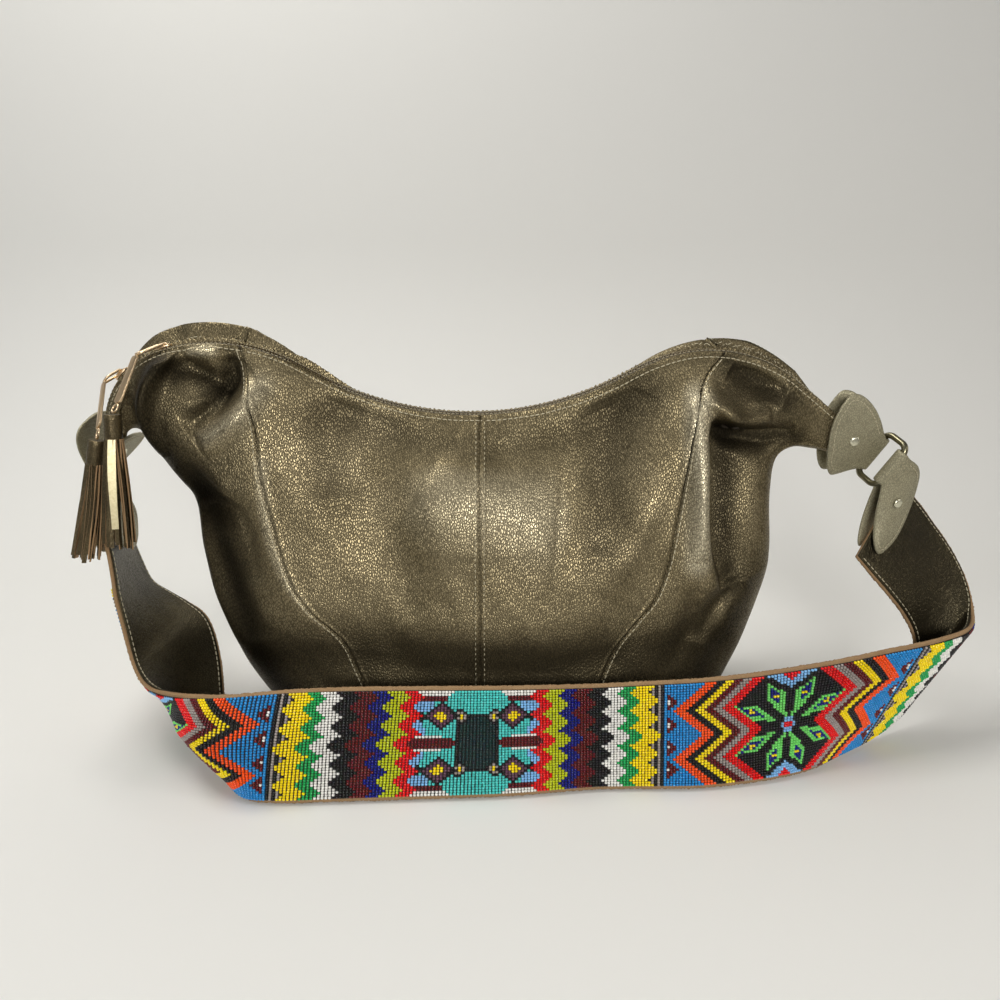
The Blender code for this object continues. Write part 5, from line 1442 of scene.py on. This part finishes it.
# A tab as one closed slab: leaf, turn round the ring's wire, leaf
def foldedTab(name, node, rivetNode, chords, chordWay, fold, wide, toward, body, rivetShares, bulge):
    chords = [np.asarray(chord, float) for chord in chords]
    chordWay = unitWay(chordWay)
    middle = (chords[0] + chords[1]) / 2
    out = fold - middle
    out = unitWay(out - wide * (out @ wide))
    side = unitWay(np.cross(out, wide))
    if side @ np.asarray(toward) < 0:
        side = -side
    radius = endSettings["wire"] + endSettings["loop"] + endSettings["leather"] / 2
    columns = np.linspace(-1, 1, 25)
    blocks, edges, outlines = [], [], []
    for chord, sign in zip(chords, (1, -1)):
        neck = fold + side * sign * radius
        centre, ways, half = leafRows(chord, neck, chordWay, wide)
        rows = centre[:, None] + ways[:, None] * (half[:, None] * columns[None])[..., None]
        share = np.linspace(0, 1, len(centre))
        way = (neck - chord) * 0.10
        fade = (1 - np.linspace(0, 1, len(centre))) ** 3
        rows = rows + way * ((columns ** 2)[None] * fade[:, None])[..., None]
        puff = (1 - columns ** 2)[None] * np.sin(np.pi * np.clip(share, 0, 1))[:, None] * bulge
        rows = rows + side * sign * puff[..., None]
        outlines.append(rows)
        blocks.append(rows if sign > 0 else rows[::-1])
        edges.append((centre, ways, half, sign, neck))
    angles = np.pi * np.arange(1, 14) / 14
    bend = side[None] * np.cos(angles)[:, None] + out[None] * np.sin(angles)[:, None]
    halfNeck = leafShares[-1][1] * endSettings["tabWidth"]
    turn = (fold + bend * radius)[:, None] + wide[None, None] * (halfNeck * columns)[None, :, None]
    middleGrid = np.concatenate([blocks[0], turn, blocks[1]], 0)
    normal = gridNormals(middleGrid)
    if normal[5, 12] @ side < 0:
        normal = -normal
    thick = endSettings["leather"] / 2
    edge = np.minimum(1.0, np.minimum((1 - np.abs(columns))[None] * 9, 1.0))
    rim = 0.72 + 0.28 * np.broadcast_to(edge, middleGrid.shape[:2])
    top = middleGrid + normal * (thick * rim)[..., None]
    under = middleGrid - normal * (thick * rim)[..., None]
    right = (top[:, -1:] + under[:, -1:]) / 2 + (top[:, -1:] - top[:, -2:-1]) * 0.35
    left = (top[:, :1] + under[:, :1]) / 2 + (top[:, :1] - top[:, 1:2]) * 0.35
    ring = np.concatenate([top, right, under[:, ::-1], left], 1)
    mesh = gridMesh(name, ring, closedColumns=True)
    shape = shapeOf(mesh)
    width, total = ring.shape[1], ring.shape[0]
    cells = len(columns)
    for start in (0, (total - 1) * width):
        for i in range(cells - 1):
            quad = [start + i, start + i + 1, start + 2 * cells - 1 - i, start + 2 * cells - i]
            shape.faces.new([shape.verts[j] for j in quad])
        shape.faces.new([shape.verts[j] for j in (start + cells - 1, start + cells, start + cells + 1)])
        shape.faces.new([shape.verts[j] for j in (start, start + 2 * cells, start + 2 * cells + 1)])
    keepShape(shape, mesh)
    tab = addObject(name, mesh, body, [tabLeather])
    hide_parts(node)

    for number, (centre, ways, half, sign, neck) in enumerate(edges):
        inset = endSettings["stitchInset"]
        block = outlines[number]
        keep = int(len(block) * 0.90)
        outline = np.concatenate([block[:keep, 0][::-1], block[0, 1:-1], block[:keep, -1]])
        heart = block[int(len(block) * 0.45), 12]
        gap = np.linalg.norm(outline - heart, axis=1, keepdims=True)
        path = heart + (outline - heart) * (1 - inset * 1.1 / gap)
        turnedWay = np.cross(unitWay(neck - centre[0]), ways[len(ways) // 3])
        rowNormal = np.broadcast_to(unitWay(turnedWay), path.shape)
        if rowNormal[0] @ (side * sign) < 0:
            rowNormal = -rowNormal
        stitches = stitchRow(f"{name}Stitches{number + 1}", path + rowNormal * thick, rowNormal, 0.0027,
                             0.0021, 0.00030, body)

    # The rivet: a domed cap at each end of a shank, pressed a little into the leather
    places = []
    for (centre, ways, half, sign, neck), chord, share in zip(edges, chords, rivetShares):
        places.append(chord + (neck - chord) * share + side * sign * math.sin(math.pi * share) * bulge)
    way = unitWay(places[0] - places[1])
    caps = []
    r = endSettings["rivet"]
    dome = ((0.0, r * 0.96), (0.00035, r), (0.00070, r * 0.93), (0.00095, r * 0.74), (0.00108, r * 0.45),
            (0.00112, r * 0.05))
    for place, sign in ((places[0], 1), (places[1], -1)):
        centre = place + way * sign * (thick + 0.0002)
        cap = barrelMesh("cap", dome, 28, True)
        x = way * sign
        y = unitWay(np.cross(x, wide))
        z = np.cross(x, y)
        turnMatrix = Matrix([list(column) for column in zip(x, y, z)]).to_4x4()
        turnMatrix.translation = Vector(centre)
        cap.transform(turnMatrix)
        caps.append(cap)
    caps.append(tubeMesh("shank", [places[0], (places[0] + places[1]) / 2, places[1]], 0.0012, 10,
                         closed=False, flatWay=wide))
    rivet = addObject(name.replace("Tab", "Rivet"), joinMeshes("rivet", caps), body, [rivetMetal],
                      smooth=False)
    rivet.data.shade_smooth()
    rivet.data.set_sharp_from_angle(angle=math.radians(50))
    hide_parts(rivetNode)
    return tab


front = np.array((0.0, -1.0, 0.0))
rightChord = np.array((0.2030, 0.0, 0.1945))
foldedTab("rightBagTab", "right_bag_tab", "right_bag_rivet",
          (rightChord + front * 0.0082, rightChord - front * 0.0082),
          (0.20, 0.0, 0.98), rightEnd["fold"], rightEnd["wide"], front, "bag", (0.50, 0.50), 0.0010)
foldedTab("leftBagTab", "left_bag_tab", "left_bag_rivet", ((-0.2480, 0.0, 0.2020), (-0.2297, 0.0, 0.1876)),
          (0.0, 1.0, 0.0), leftEnd["fold"], leftEnd["wide"], (-1.0, 0.0, 0.0), "bag", (0.54, 0.47), 0.0006)
for word, end, chord, station in (
    ("right", rightEnd, (0.2475, -0.0050, 0.1270), -1), ("left", leftEnd, (-0.2475, 0.0, 0.1120), 0),
):
    top, bottom = (np.array(edge) * strapSettings["reach"] for edge in strapStations[station])
    chordWay = unitWay(top - bottom)
    if chordWay @ end["wide"] < 0:
        chordWay = -chordWay
    side = unitWay(np.cross(end["farFold"] - np.array(chord), chordWay))
    leaf = side * 0.0077
    foldedTab(f"{word}StrapTab", f"{word}_strap_tab", f"{word}_strap_rivet",
              (np.array(chord) + leaf, np.array(chord) - leaf),
              chordWay, end["farFold"], end["wide"], side, "strap", (0.50, 0.50), 0.0004)
print("tabs ready")



tasselLeather = leatherMaterial("tasselLeather", {
    "ridge": srgb(132, 116, 84), "dark": srgb(62, 54, 38), "valley": srgb(30, 26, 18), "metallic": 0.80,
    "roughness": 0.30, "cell": 0.0011, "crease": 0.6, "mottle": 1.0, "valleyShare": 0.5, "bump": 0.80,
})
# A paler copy of the fringe leather: a painted highlight for the strand whose face is lit from the front
paleStrand, paleGraph, paleShader = newMaterial("paleStrand", srgb(196, 182, 148), 0.80, 0.40)
palePlace = paleGraph.add("ShaderNodeTexCoord").outputs["Object"]
paleNoise = paleGraph.add("ShaderNodeTexNoise", {"Vector": palePlace, "Scale": 700.0, "Detail": 3.0})
paleMix = paleGraph.mix(paleNoise.outputs["Fac"], srgb(232, 222, 186), srgb(180, 164, 120))
paleGraph.link(paleMix, paleShader.inputs["Base Color"])

tasselSettings = {"strands": 17, "strandThick": 0.0008}


# A leather strand: a flat strip that hangs, curls a little and shows a paler cut edge
def strandMesh(name, start, end, outWay, sideWay, width, thick, sway, curl, turn=0.0):
    shares = np.linspace(0, 1, 15)[:, None]
    bend = np.sin(np.pi * shares * 0.9)
    path = (start + (end - start) * shares + outWay * sway * bend
            + sideWay * curl * np.sin(np.pi * shares * 1.3))
    widths = width * (1 + 0.10 * np.sin(5.0 * shares))
    twist = turn + curl * 160 * shares
    side = sideWay * np.cos(twist) + outWay * np.sin(twist)
    front = np.cross(unitWay(end - start), side)
    middle = front[len(front) // 2]
    corners = [(-0.5, -0.5), (0.5, -0.5), (0.5, 0.5), (-0.5, 0.5)]
    rings = np.stack([path + side * widths * x + front * thick * y for x, y in corners], 1)
    mesh = gridMesh(name, rings, closedColumns=True)
    shape = shapeOf(mesh)
    count = len(shape.verts)
    shape.faces.new([shape.verts[i] for i in range(4)])
    shape.faces.new([shape.verts[count - 4 + i] for i in range(4)])
    bmesh.ops.recalc_face_normals(shape, faces=shape.faces[:])
    for face in shape.faces:
        narrow = min(edge.calc_length() for edge in face.edges)
        face.material_index = 1 if narrow < thick * 1.2 and abs(face.normal.dot(Vector(middle))) < 0.6 else 0
    shape.to_mesh(mesh)
    shape.free()
    return mesh


for word, (top, fringeEnd, wide) in pullStops.items():
    way = unitWay(fringeEnd - top)
    headEnd = top + way * pullSettings["head"]
    side = unitWay(wide - way * (wide @ way))
    out = np.cross(way, side)
    radius = pullSettings["headRadius"]

    # The head is a strip of leather rolled round itself, with its end lying over as a lap
    turns = np.linspace(0, 2 * np.pi * 1.08, 56)
    profile = [(0.0000, -0.0010), (0.0000, -0.0004), (0.0006, 0.0), (0.0030, 0.0), (0.0120, 0.0001),
               (0.0144, 0.0), (0.0150, -0.0005), (0.0150, -0.0012)]
    rings = []
    for down, grow in profile:
        r = (radius + grow) * (1 - 0.022 + 0.055 * (turns / turns[-1]) ** 6)
        rings.append(top + way * down + side * (np.cos(turns + 2.2) * r)[:, None]
                     + out * (np.sin(turns + 2.2) * r)[:, None])
    mesh = gridMesh(f"tasselHead{word}", np.stack(rings))
    shape = shapeOf(mesh)
    verts = list(shape.verts)
    columns = len(turns)
    centreTop = shape.verts.new(top + way * 0.0012)
    centreEnd = shape.verts.new(headEnd - way * 0.0010)
    last = (len(profile) - 1) * columns
    for i in range(columns - 1):
        shape.faces.new((verts[i], verts[i + 1], centreTop))
        shape.faces.new((verts[last + i + 1], verts[last + i], centreEnd))
    keepShape(shape, mesh)
    head = addObject(f"tasselHead{word.upper()}", mesh, f"tassel_{word}", [tasselLeather])
    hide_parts(f"tassel_head_{word}")

    rng = np.random.default_rng(21 if word == "a" else 35)
    strands = []
    length = np.linalg.norm(fringeEnd - headEnd)
    for ringRadius, spread, count in ((0.0040, 0.0078, tasselSettings["strands"]), (0.0022, 0.0046, 10)):
        for i in range(count):
            angle = 2 * np.pi * (i + rng.uniform(-0.25, 0.25)) / count
            outWay = side * math.cos(angle) + out * math.sin(angle)
            sideWay = unitWay(np.cross(way, outWay))
            start = headEnd - way * 0.0012 + outWay * ringRadius
            reach = length * rng.uniform(0.93, 1.03)
            end = (headEnd + way * reach + outWay * (spread * rng.uniform(0.75, 1.1))
                   + sideWay * rng.uniform(-0.0015, 0.0015))
            strands.append(strandMesh("strand", start, end, outWay, sideWay, rng.uniform(0.0018, 0.0027),
                                      tasselSettings["strandThick"], rng.uniform(-0.0004, 0.0012),
                                      rng.uniform(-0.0012, 0.0012), rng.uniform(0.35, 0.95)))
    fringe = addObject(f"tasselFringe{word.upper()}", joinMeshes(f"fringe{word}", strands), f"tassel_{word}",
                       [tasselLeather, rawEdge])
    fringe.data.set_sharp_from_angle(angle=math.radians(50))
    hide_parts(f"tassel_fringe_{word}")
    softItems = [fringe]
    # One strand of tassel a, turned to the front, is made in the paler leather as a painted highlight of its
    # lit face
    if word == "a":
        outWay = unitWay(np.array((0.25, -1.0, 0.1)))
        sideWay = unitWay(np.cross(way, outWay))
        start = headEnd - way * 0.0010 + outWay * 0.0046
        end = headEnd + way * length * 0.80 + outWay * 0.0085
        pale = addObject("paleStrand", strandMesh("paleStrand", start, end, outWay, sideWay, 0.0040, 0.0007,
                                                  0.0006, 0.0004),
                         "tassel_a", [paleStrand, rawEdge])
        pale.data.set_sharp_from_angle(angle=math.radians(50))
        softItems.append(pale)
    for item in softItems:
        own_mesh(item)
print("tassels ready")



# Stitches of the shell: their paths run over the leather at set distances from a seam or the rim
seamSettings = {"pitch": 0.0034, "length": 0.0026, "radius": 0.00034, "rimDrop": 0.0034}


def surfaceNormals(across, up, side):
    step = 0.002
    wide = surface(across + step, up, side) - surface(across - step, up, side)
    tall = surface(across, np.minimum(up + step, 1), side) - surface(across, up - step, side)
    normal = np.cross(wide, tall)
    normal /= np.maximum(np.linalg.norm(normal, axis=-1, keepdims=True), 1e-12)
    return normal * np.where(normal[..., 1:2] * side < 0, -1.0, 1.0)


# A path beside a seam, the given distance to its right when positive
def besideSeam(word, side, offset, firstUp, lastUp):
    ups = np.linspace(firstUp, lastUp, 220)
    middle = seamAt(word, ups)
    points = surface(middle, ups, side)
    step = 0.004
    rate = np.linalg.norm(surface(middle + step, ups, side) - points, axis=-1) / step
    across = middle + offset / rate
    return surface(across, ups, side), surfaceNormals(across, ups, side)


seamRows = []
for side, label in ((-1, "Front"), (1, "Back")):
    for word, offset, first, last in (
        ("left", -0.0022, 0.985, 0.06), ("right", 0.0022, 0.985, 0.06),
        ("middle", -0.0026, 0.985, 0.05), ("middle", 0.0026, 0.985, 0.05),
    ):
        path, normals = besideSeam(word, side, offset, first, last)
        seamRows.append((f"{word}{label}Seam{'Left' if offset < 0 else 'Right'}", path, normals))

# The row along the rim, a set distance below it all round
for side, label in ((-1, "Front"), (1, "Back")):
    across = np.linspace(0.012, 0.988, 700)
    ups = np.linspace(1.0, 0.90, 60)
    acrossGrid, upGrid = np.meshgrid(across, ups, indexing="xy")
    block = surface(acrossGrid, upGrid, side)
    run = np.concatenate([np.zeros((1, len(across))),
                          np.cumsum(np.linalg.norm(np.diff(block, axis=0), axis=-1), 0)])
    rimUps = np.array([np.interp(seamSettings["rimDrop"], run[:, i], ups) for i in range(len(across))])
    path = surface(across, rimUps, side)
    seamRows.append((f"rim{label}", path, surfaceNormals(across, rimUps, side)))

for name, path, normals in seamRows:
    stitches = stitchRow(name + "Stitches", path, normals, seamSettings["pitch"], seamSettings["length"],
                         seamSettings["radius"], "bag", lift=0.5)

# Stitches along both edges of the strap's leather
for edge, label in ((0.048, "Low"), (0.952, "High")):
    distance = np.linspace(0.004, strapLength - 0.004, 900)
    grid, along, wide, normal = strapGrid(0.004, strapLength - 0.004, 900, [edge])
    height = liningHigh
    path = (grid + normal * height)[:, 0]
    facing = normal[:, 0] * (1.0 if height > 0 else -1.0)
    stitches = stitchRow(f"strap{label}Stitches", path, facing, 0.0036, 0.0027, 0.00032, "strap")
print("stitches ready")

# Zip: two tapes, a row of metal teeth on each and a stop at each end
zipSettings = {"pitch": 0.00170, "margin": 0.0195, "stop": 0.0035}
tapeCloth, tapeGraph, tapeShader = newMaterial("zipTapeCloth", srgb(44, 36, 30), 0.0, 0.85)
tapePlace = tapeGraph.add("ShaderNodeTexCoord").outputs["Object"]
tapeWave = tapeGraph.add("ShaderNodeTexWave", {"Vector": tapePlace, "Scale": 900.0, "Distortion": 1.5},
                         bands_direction="DIAGONAL")
tapeMix = tapeGraph.mix(tapeWave.outputs["Fac"], srgb(30, 24, 20), srgb(66, 54, 44))
tapeGraph.link(tapeMix, tapeShader.inputs["Base Color"])
tapeGraph.bump(tapeShader, tapeWave.outputs["Fac"], 0.5, 0.0002)

toothShape = bmesh.new()
toothOutline = [(-0.5, -0.42), (0.06, -0.36), (0.14, -0.5), (0.5, -0.30), (0.5, 0.30), (0.14, 0.5),
                (0.06, 0.36), (-0.5, 0.42)]
toothRings = [[toothShape.verts.new((x, y * s, z)) for x, y in toothOutline] for z,
              s in ((-0.5, 0.80), (-0.36, 1.0), (0.36, 1.0), (0.5, 0.80))]
for first, last in zip(toothRings, toothRings[1:]):
    for i in range(len(toothOutline)):
        j = (i + 1) % len(toothOutline)
        toothShape.faces.new((first[i], first[j], last[j], last[i]))
toothShape.faces.new(toothRings[0][::-1])
toothShape.faces.new(toothRings[-1])
bmesh.ops.recalc_face_normals(toothShape, faces=toothShape.faces[:])
toothUnit = bpy.data.meshes.new("toothUnit")
toothShape.to_mesh(toothUnit)
toothShape.free()

start = zipSettings["margin"] + zipSettings["stop"] + 0.0003
for side, word in ((-1, "front"), (1, "back")):
    count = int((zipLength - 2 * start) / zipSettings["pitch"])
    distance = start + (np.arange(count) + (0.5 if side < 0 else 1.0)) * zipSettings["pitch"]
    distance = distance[distance < zipLength - start]
    point, along, outward = zipAxes(distance)
    towards = np.broadcast_to(np.array((0.0, -side, 0.0)), point.shape)
    zWay = np.cross(towards, along)
    places = point + np.array((0.0, side * 0.00165, 0.0))
    teeth = scatter(f"{word}ZipTeeth", places, (towards, along, zWay), (0.0026, 0.00115, 0.0024), toothUnit,
                    zipBrass, "bag", smooth=False)
    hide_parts(f"{word}_zip_teeth")

    distance = np.linspace(zipSettings["margin"] - 0.008, zipLength - zipSettings["margin"] + 0.008, 420)
    point, along, outward = zipAxes(distance)
    rows = []
    for y, rise in ((0.0030, -0.0012), (0.0030, 0.0003), (0.0034, 0.0008), (0.0044, 0.0006),
                    (0.0050, -0.0002), (0.0051, -0.0020),
                    (0.0049, -0.0060), (0.0045, -0.0060), (0.0040, -0.0015), (0.0034, -0.0012)):
        rows.append(point + outward * rise + np.array((0.0, side * y, 0.0)))
    grid = np.stack(rows, 1)
    mesh = gridMesh(f"{word}ZipTape", grid, closedColumns=True)
    shape = shapeOf(mesh)
    verts = list(shape.verts)
    count = grid.shape[1]
    for first in (0, (len(distance) - 1) * count):
        shape.faces.new(verts[first:first + count])
    keepShape(shape, mesh)
    tape = addObject(f"{word}ZipTape", mesh, "bag", [tapeCloth])
    tape.data.set_sharp_from_angle(angle=math.radians(60))
    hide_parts(f"{word}_zip_tape")

    point, along, outward = zipAxes(np.linspace(zipSettings["margin"], zipLength - zipSettings["margin"],
                                                900))
    rows = stitchRow(f"{word}TapeStitches", point + outward * 0.0008 + np.array((0.0, side * 0.0040, 0.0)),
                     outward,
                     0.0026, 0.0019, 0.00024, "bag")

for word, distance in (("left", zipSettings["margin"] + 0.00175),
                       ("right", zipLength - zipSettings["margin"] - 0.00175)):
    point, along, outward = zipAxes(np.array(distance))
    across = np.array((0.0, 1.0, 0.0))
    staple = slabMesh("stop", roundedRectangle(zipSettings["stop"], 0.0054, 0.0009), 0.0024, 0.0004, point,
                      (along, across, outward))
    stop = addObject(f"{word}ZipStop", staple, "bag", [zipBrass], smooth=False)
    stop.data.shade_smooth()
    stop.data.set_sharp_from_angle(angle=math.radians(40))
    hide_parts(f"{word}_zip_stop")
print("zip ready")

# Lining: a cloth pouch inside the leather that follows its folds
liningCloth, liningGraph, liningShader = newMaterial("liningCloth", srgb(62, 54, 44), 0.0, 0.9)
liningPlace = liningGraph.add("ShaderNodeTexCoord").outputs["Object"]
liningWave = liningGraph.add("ShaderNodeTexWave", {"Vector": liningPlace, "Scale": 620.0, "Distortion": 1.0})
liningMix = liningGraph.mix(liningWave.outputs["Fac"], srgb(48, 42, 34), srgb(78, 68, 54))
liningGraph.link(liningMix, liningShader.inputs["Base Color"])
liningGraph.bump(liningShader, liningWave.outputs["Fac"], 0.4, 0.0002)


def makeLining():
    rows, columns = 70, 150
    ups = np.linspace(0.84, 0.02, rows)
    across = 0.5 - 0.5 * np.cos(np.pi * np.linspace(0.17, 0.85, columns))
    acrossGrid, upGrid = np.meshgrid(across, ups, indexing="xy")
    halves = []
    for side in (-1, 1):
        points = surface(acrossGrid, upGrid, side)
        plain = surface(acrossGrid, upGrid, side, folds=False)
        points[..., 1] = side * np.minimum(np.abs(points[..., 1]), np.abs(plain[..., 1]))
        inset = np.minimum(0.0060, np.abs(points[..., 1]) * 0.55)
        points[..., 1] -= side * inset
        points[..., 2] = np.maximum(points[..., 2] - (0.006 if side > 0 else 0.002), 0.004)
        roof = flatPoints(acrossGrid, np.ones_like(upGrid))[..., 1] - 0.016
        points[..., 2] = np.clip(points[..., 2], 0.004, np.maximum(roof, 0.01))
        halves.append(points if side < 0 else points[:, ::-1])
    grid = np.concatenate(halves, 1)
    base = grid[-1:].copy()
    floorRows = []
    for share in (0.5, 0.97):
        row = base.copy()
        row[..., 1] *= 1 - share
        floorRows.append(row)
    mesh = gridMesh("lining", np.concatenate([grid, *floorRows], 0), flip=True, closedColumns=True)
    item = addObject("lining", mesh, "bag", [liningCloth])
    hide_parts("lining")


makeLining()
print("lining ready")
